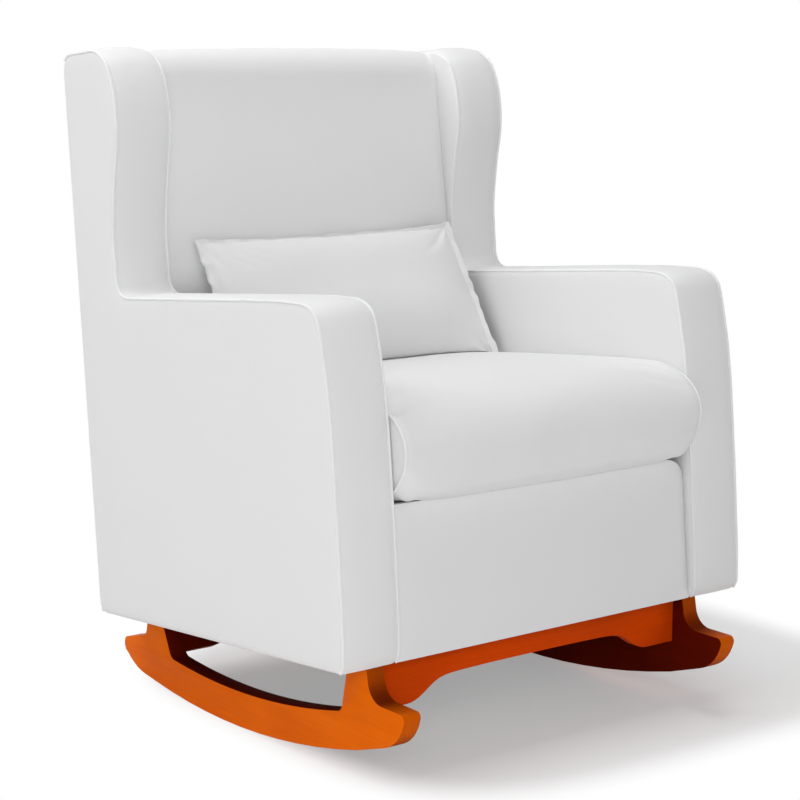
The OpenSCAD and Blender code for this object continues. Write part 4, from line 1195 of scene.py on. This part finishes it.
def crease_pillow(points, side, x, y, px, py, flat_x, flat_z):
    """Gives the inflated pillow its gathers and its flange. side is -1 in front and 1 behind."""
    # Gathers along the stitched line, longest at the corners
    near_x, near_y = (1 - px) * 0.25, (1 - py) * PILLOW_H / 2
    inner = near_x * near_y
    along_x = ripple(np.column_stack((flat_z, side)), 58.0, 103.0)
    along_y = ripple(np.column_stack((flat_x, side)), 48.0, 101.0)
    gather = (along_y * np.exp(-near_y / 0.014) * smooth(near_y, 0, 0.003)
              + along_x * np.exp(-near_x / 0.018) * smooth(near_x, 0, 0.003)) * 0.0030
    corner = np.exp(-(near_x ** 2 + near_y ** 2) / 0.05 ** 2)
    folds = np.where(y < 0, 0.0034, 0.0020)
    fan = np.sin(np.arctan2(near_y + 0.004, near_x + 0.004) * 9) * folds * corner * smooth(inner, 0, 3e-5)
    spot = np.column_stack((flat_x, flat_z, side * 0.3))
    points[:, 1] += side * (gather + fan + ripple(spot, 9.0, 107.0) * 0.002 * smooth(inner, 0, 1e-3))
    # A wavy flange
    out = np.maximum(smooth(np.abs(x), 0.93, 1.0), smooth(y, 0.90, 1.0))
    flat = spot[:, :2]
    points[:, 1] += (ripple(flat, 24.0, 109.0) * 0.0055 + ripple(flat, 62.0, 110.0) * 0.0040) * out
    points[:, 2] += ripple(flat * (1, 0.6), 30.0, 111.0) * 0.0034 * out * (y > 0)
    narrow = flat * (0.6, 1)
    points[:, 0] += (ripple(narrow, 38.0, 113.0) + ripple(narrow, 75.0, 114.0)) * 0.0026 * out
    # The lower flange turns back under the pillow, except at its ears
    beyond = np.maximum(0, -y - PILLOW_SEAM_LOW) * PILLOW_H / 2
    turn = smooth(beyond, 0, 0.002) * (1 - 0.7 * smooth(np.abs(x), 0.955, 0.99))
    points[:, 2] += turn * (beyond * 0.9 + side * PILLOW_HEM)
    points[:, 1] += turn * (beyond * 0.95 - side * PILLOW_HEM)


def stood(points, flat_z, cushion):
    """The pillow's points leant back and stood on the cushion's crown, a little into it."""
    c, s = math.cos(PILLOW_LEAN), math.sin(PILLOW_LEAN)
    placed = np.column_stack((points[:, 0], PILLOW_V + points[:, 1] * c + points[:, 2] * s,
                              points[:, 2] * c - points[:, 1] * s))
    bpy.context.view_layer.update()
    places = np.linspace(-0.26, 0.26, 27)
    crown = surface_over(cushion, [(u, PILLOW_V) for u in places])
    middle = crown[len(places) // 2]
    sunk = (np.interp(placed[:, 0], places, crown) - middle) * (1 - smooth(flat_z, 0.0, 0.12))
    placed[:, 2] += middle - 0.0040 + sunk
    low = placed[:, 2] < middle + 0.004
    placed[low, 2] = np.maximum(placed[low, 2], surface_over(cushion, placed[low, :2]) + 0.0005)
    return placed


def build_pillow(name, cushion):
    """Lumbar pillow: two covers sewn together inside a stitched flange, which folds under where it stands.
    Returns it with the strip of its back that its zip lies on."""
    plan, ahead, behind = pillow_plan()
    x, y, px, py, flat_x, flat_z = plan
    count = x.size
    halves = [np.stack((flat_x, depth, flat_z), axis=2) for depth in (-ahead, behind)]
    points = np.array(halves).reshape(-1, 3)
    uv = np.stack((flat_x, flat_z), axis=2).reshape(-1, 2)
    piece = make_mesh(name, points, closed_faces(*x.shape), np.vstack((uv, uv + (0, 1.0))))
    pins = np.tile(((px >= 1) | (py >= 1)).astype(float).ravel(), 2)
    points = inflate(piece, bpy.context.scene.chair_loose.pillow_pressure, PILLOW_CAP, pins)
    plan = [np.tile(values.ravel(), 2) for values in plan]
    crease_pillow(points, np.repeat((-1.0, 1.0), count), *plan)
    points = stood(points, plan[-1], cushion)
    row = int(np.argmin(np.abs(y[:, 0] + 0.9 * PILLOW_SEAM_LOW)))
    picked = np.abs(x[0] * PILLOW_BOTTOM_W / 2) < 0.150
    return settled(piece, points, 70), points[count:].reshape(*x.shape, 3)[row - 1:row + 2, picked]


# Zips

def coil(path, out, pitch=0.0022, reach=0.0013, rise=0.0007, wire=0.0004):
    """Spiral of a zip's teeth along a path, on the side it faces."""
    line = spaced(path, pitch / 8)
    turn = lengths(line)[:, None] * 2 * np.pi / pitch
    sideways = np.cross(headings(line), np.broadcast_to(out, line.shape))
    return tube(line + sideways * reach * np.cos(turn) + out * rise * np.sin(turn), wire, sides=6)


def build_zip(name, strip, out):
    """Zip on a strip of points (rows up, columns along): woven tape and the coil along its middle."""
    tape = strip + out * 0.0005
    up = np.array((-1.0, 0.0, 1.0)) * np.linalg.norm(tape[2, 0] - tape[0, 0]) / 2
    return body_piece(name, join_parts([shell(tape, 0.0005, grid_map(lengths(tape[1]), up), out),
                                        coil(tape[1] + out * 0.0011, out)]))


def build_slider(name, spot, tilt, size):
    """Zip slider with its ring pull at a spot of the body, tilted back."""
    bpy.ops.object.select_all(action="DESELECT")
    bpy.ops.mesh.primitive_cube_add(size=1)
    piece = bpy.context.object
    piece.scale = (0.009, 0.003, 0.008)
    bpy.ops.object.transform_apply(location=True, rotation=True, scale=True)
    bpy.ops.object.mode_set(mode="EDIT")
    bpy.ops.mesh.select_all(action="SELECT")
    bpy.ops.mesh.bevel(offset=0.0009, segments=3)
    bpy.ops.object.mode_set(mode="OBJECT")
    bpy.ops.mesh.primitive_torus_add(
        location=(0, 0.0021, -0.0060), rotation=(math.pi / 2, 0, 0), major_radius=0.0040, minor_radius=0.0006,
        major_segments=28, minor_segments=8)
    piece.select_set(True)
    bpy.context.view_layer.objects.active = piece
    bpy.ops.object.join()
    piece.name = piece.data.name = name
    tilted = Matrix.Rotation(-tilt, 4, "X") @ Matrix.Scale(size, 4)
    piece.matrix_world = BODY_PLACE @ Matrix.Translation(spot) @ tilted
    bpy.ops.object.transform_apply(location=True, rotation=True, scale=True)
    return smoothed(piece, 40)


# Woodwork

def only(piece, edge=None, vertex=None):
    """In edit mode on the piece, selects just the edges or the vertices that pass the test."""
    bpy.ops.object.mode_set(mode="OBJECT")
    mesh = piece.data
    for part in (mesh.vertices, mesh.edges, mesh.polygons):
        part.foreach_set("select", np.zeros(len(part), bool))
    if edge:
        for line in mesh.edges:
            line.select = bool(edge(*(mesh.vertices[i].co for i in line.vertices)))
    if vertex:
        for spot in mesh.vertices:
            spot.select = bool(vertex(spot.co))
    bpy.ops.object.mode_set(mode="EDIT")
    bpy.ops.mesh.select_mode(type="EDGE" if edge else "VERT")


def copy_of(node, name):
    """A merged copy of a node's mesh with one face for each flat side."""
    alone(frame["nodes"][node])
    bpy.ops.object.duplicate()
    piece = bpy.context.view_layer.objects.active
    piece.name = piece.data.name = name
    piece.parent = None
    for key in list(piece.keys()):
        del piece[key]
    bpy.ops.object.mode_set(mode="EDIT")
    bpy.ops.mesh.select_all(action="SELECT")
    bpy.ops.mesh.remove_doubles(threshold=0.00002)
    bpy.ops.mesh.dissolve_limited(angle_limit=math.radians(0.5))
    bpy.ops.object.mode_set(mode="OBJECT")
    return piece


def eased(piece, node, finish, painted_shade):
    """Rounds the piece's sawn edges, marks on its faces how much shade is painted on them, mostly where they
    are turned in, and gives it its finish.
    """
    alone(piece)
    bevel = piece.modifiers.new("Eased edges", "BEVEL")
    bevel.width = bpy.context.scene.chair_wood.easing
    bevel.segments = 3
    bevel.limit_method = "ANGLE"
    bevel.angle_limit = math.radians(40)
    bpy.ops.object.modifier_apply(modifier=bevel.name)
    mesh = piece.data
    # The attribute inside carries the painted shade of each face corner, from 0 to 1
    inside = mesh.attributes.new("inside", "FLOAT", "CORNER")
    inside.data.foreach_set("value", [painted_shade(mesh.vertices[i].co, face.normal)
                                      for face in mesh.polygons for i in face.vertices])
    return dress(smoothed(piece, 30), "lacquered_wood", node, finish=finish)


def build_rocker(name, node, side):
    """Rocker whose tail rounds up in a curve; shade is painted on its inner faces under the seat, in its
    window, on its neck and on its scroll.
    """
    piece = copy_of(node, name)
    ends = np.array(TAIL_ENDS)
    near = 0.0006

    def on_tail(a, b):
        return np.abs(np.array(sorted(((a.y, a.z), (b.y, b.z)))) - ends).max() < near

    only(piece, edge=on_tail)
    bpy.ops.mesh.subdivide(number_cuts=len(TAIL_UP))
    for k, up in enumerate(TAIL_UP, 1):
        back, old = ends[0] + (ends[1] - ends[0]) * k / (len(TAIL_UP) + 1)
        only(piece, vertex=lambda spot: abs(spot.y - back) < near and abs(spot.z - old) < near)
        bpy.ops.transform.translate(value=(0, 0, up - old))
    bpy.ops.object.mode_set(mode="OBJECT")

    def painted_shade(spot, normal):
        # Painted shade: full on the faces turned towards the other rocker
        if normal.x * side < -0.35:
            return 1.0
        if abs(normal.x) > 0.5:
            return 0.0
        in_front = spot.y < -0.300 or (spot.y < -0.25 and normal.y < -0.3)
        if in_front and spot.z > 0.1235:
            # Painted shade, darkest in the hollow of the neck and fading towards the scroll's tip
            neck, tip = smooth(spot.z, 0.125, 0.174), smooth(-spot.y, 0.330, 0.372)
            return float(0.90 - 0.42 * neck - 0.60 * tip)
        # Painted shade on the lower front of the scroll, darker towards the floor
        if in_front:
            return float(0.36 + 0.40 * smooth(-spot.z, -0.100, -0.060))
        # Painted shade on the faces in the window under the seat, except the back-facing ones at its rear end
        in_window = -0.268 < spot.y < 0.236 and spot.z > 0.050 and normal.z > -0.2
        return float(in_window and not (spot.y > 0.2 and normal.y > 0))

    return eased(piece, node, "lacquer_long", painted_shade)


def build_front_crossrail(name, node):
    """Front crossrail with its long arch, from a strip drawn down to the arch's edge."""
    low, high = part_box(node)
    bpy.ops.object.select_all(action="DESELECT")
    bpy.ops.mesh.primitive_grid_add(
        x_subdivisions=120, y_subdivisions=1, size=1, rotation=(math.pi / 2, 0, 0),
        location=(0, low.y, (low.z + high.z + RAIL_SPARE) / 2))
    piece = bpy.context.object
    piece.name = piece.data.name = name
    piece.scale = (high.x - low.x, high.z + RAIL_SPARE - low.z, 1)
    bpy.ops.object.transform_apply(location=True, rotation=True, scale=True)
    edge = np.array(RAIL_EDGE)
    for x in sorted({round(v.co.x, 5) for v in piece.data.vertices}):
        up = float(np.interp(abs(x), edge[:, 0], edge[:, 1]))
        only(piece, vertex=lambda spot: abs(spot.x - x) < 0.0005 and spot.z < low.z + 0.001)
        bpy.ops.transform.translate(value=(0, 0, up - low.z))
    bpy.ops.mesh.select_all(action="SELECT")
    bpy.ops.mesh.extrude_region_move(TRANSFORM_OT_translate={"value": (0, high.y - low.y, 0)})
    bpy.ops.mesh.select_all(action="SELECT")
    bpy.ops.mesh.bisect(plane_co=BODY_PLACE.translation, plane_no=BODY_PLACE.to_3x3() @ Vector((0, 0, 1)),
                        clear_outer=True, use_fill=True)
    bpy.ops.mesh.select_all(action="SELECT")
    bpy.ops.mesh.normals_make_consistent(inside=False)
    bpy.ops.mesh.dissolve_limited(angle_limit=math.radians(0.2))
    bpy.ops.object.mode_set(mode="OBJECT")
    # Painted shade on the back faces, under the seat
    return eased(piece, node, "lacquer_cross", lambda spot, normal: float(normal.y > 0.5))


# Studio

def add_object(name, data, place, aim):
    """A camera or lamp at a place, turned to look along a direction."""
    thing = bpy.data.objects.new(name, data)
    thing.location = place
    thing.rotation_euler = aim.to_track_quat("-Z", "Y").to_euler()
    bpy.context.scene.collection.objects.link(thing)
    return thing


def white_surround(ambient):
    """World that lights evenly, and is white to the camera, in gloss and through glass."""
    f = Finish(bpy.data.worlds.new("studio"))
    even = f.node("ShaderNodeBackground", None, {"Strength": ambient})
    white = f.node("ShaderNodeBackground", None, {"Color": WHITE})
    seen = f.node("ShaderNodeLightPath")
    gloss, glass = seen.output("Is Glossy Ray"), seen.output("Is Transmission Ray")
    shown = seen.math("MAXIMUM", gloss).math("MAXIMUM", glass)
    mixed = f.node("ShaderNodeMixShader", None, {0: shown, 1: even, 2: white})
    f.node("ShaderNodeOutputWorld", None, {"Surface": mixed})
    return f.owner


def floor_finish(lift):
    """Floor that bounces light plainly, and shows the camera a shadow that ends in white."""
    f = Finish(bpy.data.materials.new("studio_floor"))
    bounce = f.node("ShaderNodeBsdfDiffuse", None, {"Color": (0.86, 0.86, 0.86, 1)})
    matt = f.node("ShaderNodeBsdfDiffuse", None, {"Color": (0.70, 0.70, 0.70, 1)})
    glow = f.node("ShaderNodeEmission", None, {"Color": WHITE, "Strength": lift})
    lifted = f.node("ShaderNodeAddShader", None, {0: matt, 1: glow})
    backdrop = f.node("ShaderNodeEmission", None, {"Color": WHITE, "Strength": 1.0})
    scale = [1 / reach for reach in SHADOW_REACH]
    moved = [-middle / reach for middle, reach in zip(SHADOW_MIDDLE, SHADOW_REACH)]
    x, y = f.split(f.place((*scale, 0), (*moved, 0)))
    away = (x.math("ABSOLUTE") ** 4 + y.math("ABSOLUTE") ** 4) ** 0.25
    seen = f.node("ShaderNodeMixShader", None, {0: away.step(0.86, 1.08), 1: lifted, 2: backdrop})
    camera_ray = f.node("ShaderNodeLightPath")
    surface = f.node("ShaderNodeMixShader", None, {0: camera_ray, 1: bounce, 2: seen})
    f.node("ShaderNodeOutputMaterial", None, {"Surface": surface})
    return f.owner


# Operators

class ROCKINGCHAIR_OT_stage(bpy.types.Operator):
    """Sets up the camera, the lights, the white surround and the floor"""

    bl_idname = "rocking_chair.stage"
    bl_label = "Studio and camera"

    def execute(self, context):
        studio = context.scene.chair_studio
        camera = bpy.data.cameras.new("photo_camera")
        camera.sensor_width = CAMERA_SENSOR
        camera.lens = CAMERA_LENS
        camera.clip_end = 60
        level = math.cos(CAMERA_PITCH)
        ahead = (math.sin(CAMERA_YAW) * level, math.cos(CAMERA_YAW) * level, -math.sin(CAMERA_PITCH))
        context.scene.camera = add_object("photo_camera", camera, CAMERA_PLACE, Vector(ahead))
        context.scene.view_settings.view_transform = "Standard"
        for name, place in LAMPS.items():
            lamp = bpy.data.lights.new(f"{name}_light", "AREA")
            lamp.shape = "DISK"
            lamp.size = studio.lamp_size
            lamp.energy = getattr(studio, name)
            add_object(f"{name}_light", lamp, place, LAMP_AIM - Vector(place))
        context.scene.world = white_surround(studio.ambient)
        bpy.ops.mesh.primitive_plane_add(size=FLOOR_SIZE, location=(0, 0, FLOOR_Z))
        floor = context.object
        floor.name = "studio_floor"
        floor.data.materials.append(floor_finish(studio.floor_white))
        return {"FINISHED"}


class ROCKINGCHAIR_OT_woodwork(bpy.types.Operator):
    """Makes the rockers and crossrails with eased edges, a lacquered grain and shade painted on their inner
    faces
    """

    bl_idname = "rocking_chair.woodwork"
    bl_label = "Rockers and crossrails"

    def execute(self, context):
        for side, sign in SIDES:
            build_rocker(f"{side}_rocker_eased", f"{side}_rocker", sign)
        build_front_crossrail("front_crossrail_eased", "front_crossrail")
        rear = copy_of("rear_crossrail", "rear_crossrail_eased")
        # Painted shade on the front faces, under the seat
        eased(rear, "rear_crossrail", "lacquer_cross", lambda spot, normal: float(normal.y < -0.5))
        return {"FINISHED"}


class ROCKINGCHAIR_OT_sides(bpy.types.Operator):
    """Makes the outer panels, borders and inner panels of arms and wings"""

    bl_idname = "rocking_chair.sides"
    bl_label = "Arms and wings"

    def execute(self, context):
        for side, sign in SIDES:
            dress(build_outer_panel(f"{side}_outer_cover", sign), "upholstery_fabric", f"{side}_outer_panel",
                  fill=0.9)
            dress(build_border(f"{side}_border_cover", sign), "upholstery_fabric", f"{side}_border", fill=0.8)
            dress(build_inner_panel(f"{side}_inner_cover", sign), "upholstery_fabric", f"{side}_inner_panel",
                  fill=0.8)
        return {"FINISHED"}


class ROCKINGCHAIR_OT_piping(bpy.types.Operator):
    """Makes the piped seams along both edges of the borders"""

    bl_idname = "rocking_chair.piping"
    bl_label = "Piped seams"

    def execute(self, context):
        seams = (("outer", -HALF_W + 0.0017, 0.0), ("inner", -INNER_U - 0.0012, 0.004))
        for side, sign in SIDES:
            for edge, u, sink in seams:
                piping = build_welt(f"{side}_{edge}_piping", sign, u, sink)
                dress(piping, "welt_fabric", f"{side}_{edge}_welt")
        return {"FINISHED"}


class ROCKINGCHAIR_OT_back(bpy.types.Operator):
    """Makes the crowned inside back, rolled over the top, and the outside back"""

    bl_idname = "rocking_chair.back"
    bl_label = "Back"

    def execute(self, context):
        dress(build_inside_back("inside_back_cover"), "upholstery_fabric", "inside_back", "back_top_border",
              fill=0.7)
        dress(build_outside_back("outside_back_cover"), "upholstery_fabric", "outside_back", fill=0.9)
        return {"FINISHED"}


class ROCKINGCHAIR_OT_seat(bpy.types.Operator):
    """Makes the front panel, the lined deck and the dust cover"""

    bl_idname = "rocking_chair.seat"
    bl_label = "Seat front, deck and dust cover"

    def execute(self, context):
        dress(build_front_panel("front_cover"), "upholstery_fabric", "front_panel", fill=0.8)
        dress(build_deck("deck_cover"), "deck_cloth", "seat_deck", fill=0.6)
        under = dress(build_dust_cover("dust_cover_lining"), "dust_cloth", "dust_cover")
        return {"FINISHED"}


class ROCKINGCHAIR_OT_cushion(bpy.types.Operator):
    """Makes the stuffed seat cushion, its piping and its zip"""

    bl_idname = "rocking_chair.cushion"
    bl_label = "Seat cushion"

    def execute(self, context):
        body = "seat_cushion"
        piece, rims = build_cushion("cushion_cover")
        fill = context.scene.chair_loose.cushion_fill
        dress(piece, "upholstery_fabric", "seat_cushion", body=body, fill=fill)
        dress(build_cushion_piping("cushion_piping", rims), "welt_fabric", "seat_cushion_welts", body=body)
        across, up = np.meshgrid(np.linspace(-ZIP_HALF, ZIP_HALF, 85), (-TAPE_HALF, 0, TAPE_HALF))
        behind = np.full(across.shape, CUSHION_BACK + 0.0011)
        strip = np.stack((across, behind, CUSHION_MID + up), axis=2)
        tape = build_zip("cushion_zip", strip, np.array((0, 1, 0)))
        dress(tape, "zip_tape", "seat_cushion_zip", body=body)
        spot = (ZIP_HALF - 0.015, CUSHION_BACK + 0.0030, CUSHION_MID)
        dress(build_slider("cushion_zip_slider", spot, 0.0, 1.0), "zinc_steel", body=body)
        return {"FINISHED"}


class ROCKINGCHAIR_OT_pillow(bpy.types.Operator):
    """Makes the stuffed lumbar pillow with its stitched flange and its zip"""

    bl_idname = "rocking_chair.pillow"
    bl_label = "Lumbar pillow"

    def execute(self, context):
        body = "lumbar_pillow"
        piece, strip = build_pillow("pillow_cover", bpy.data.objects["cushion_cover"])
        fill = context.scene.chair_loose.pillow_fill
        dress(piece, "upholstery_fabric", "lumbar_pillow", body=body, fill=fill)
        out = np.array((0, math.cos(PILLOW_ZIP_TILT), -math.sin(PILLOW_ZIP_TILT)))
        dress(build_zip("pillow_zip", strip, out), "zip_tape", "lumbar_pillow_zip", body=body)
        spot = strip[1, -4] + out * 0.0012
        dress(build_slider("pillow_zip_slider", spot, PILLOW_ZIP_TILT, 0.6), "zinc_steel", body=body)
        return {"FINISHED"}


class ROCKINGCHAIR_OT_inner_finishes(bpy.types.Operator):
    """Gives the timber, foam, webbing and fasteners of the frame their materials"""

    bl_idname = "rocking_chair.inner_finishes"
    bl_label = "Finishes of the inner frame"

    def execute(self, context):
        upright = ("front_post", "rear_post", "wing_board", "outside_back_board")
        lengthwise = ("side_rail", "arm_rail")
        for node in frame["record"]["subparts"]:
            name, slot = node["node"], node["material_slot"]
            part = frame["nodes"][name]
            if part.hide_render:
                continue
            finish = SLOT_FINISH[slot]
            if slot == "frame_timber" and name.endswith(upright):
                finish = "timber_up"
            elif slot == "frame_timber" and name.endswith(lengthwise):
                finish = "timber_back"
            part.data.materials.clear()
            part.data.materials.append(finish_named(finish))
        return {"FINISHED"}


class ROCKINGCHAIR_PT_sidebar(bpy.types.Panel):
    """Lists the steps and the settings of the chair"""

    bl_idname = "ROCKINGCHAIR_PT_sidebar"
    bl_label = "Rocking Chair"
    bl_space_type = "VIEW_3D"
    bl_region_type = "UI"
    bl_category = "Rocking Chair"

    def draw(self, context):
        for operator in OPERATORS:
            self.layout.operator(operator.bl_idname)
        for group in SETTINGS:
            box = self.layout.box()
            settings = getattr(context.scene, group)
            for name in settings.bl_rna.properties.keys():
                if name not in ("name", "rna_type"):
                    box.prop(settings, name)


OPERATORS = (
    ROCKINGCHAIR_OT_stage,
    ROCKINGCHAIR_OT_woodwork,
    ROCKINGCHAIR_OT_sides,
    ROCKINGCHAIR_OT_piping,
    ROCKINGCHAIR_OT_back,
    ROCKINGCHAIR_OT_seat,
    ROCKINGCHAIR_OT_cushion,
    ROCKINGCHAIR_OT_pillow,
    ROCKINGCHAIR_OT_inner_finishes,
)
SETTINGS = {
    "chair_upholstery": UpholsterySettings,
    "chair_loose": LooseSettings,
    "chair_wood": WoodSettings,
    "chair_studio": StudioSettings,
}


def register():
    """Registers the settings, the steps and the panel."""
    for name, group in SETTINGS.items():
        bpy.utils.register_class(group)
        setattr(bpy.types.Scene, name, bpy.props.PointerProperty(type=group))
    for operator in OPERATORS:
        bpy.utils.register_class(operator)
    bpy.utils.register_class(ROCKINGCHAIR_PT_sidebar)


def unregister():
    """Takes the panel, the steps and the settings out again."""
    bpy.utils.unregister_class(ROCKINGCHAIR_PT_sidebar)
    for operator in reversed(OPERATORS):
        bpy.utils.unregister_class(operator)
    for name, group in SETTINGS.items():
        delattr(bpy.types.Scene, name)
        bpy.utils.unregister_class(group)


def main():
    """Builds the whole chair in order."""
    register()
    bpy.ops.rocking_chair.stage()
    bpy.ops.rocking_chair.woodwork()
    bpy.ops.rocking_chair.sides()
    bpy.ops.rocking_chair.piping()
    bpy.ops.rocking_chair.back()
    bpy.ops.rocking_chair.seat()
    bpy.ops.rocking_chair.cushion()
    bpy.ops.rocking_chair.pillow()
    bpy.ops.rocking_chair.inner_finishes()


if __name__ == "__main__":
    main()
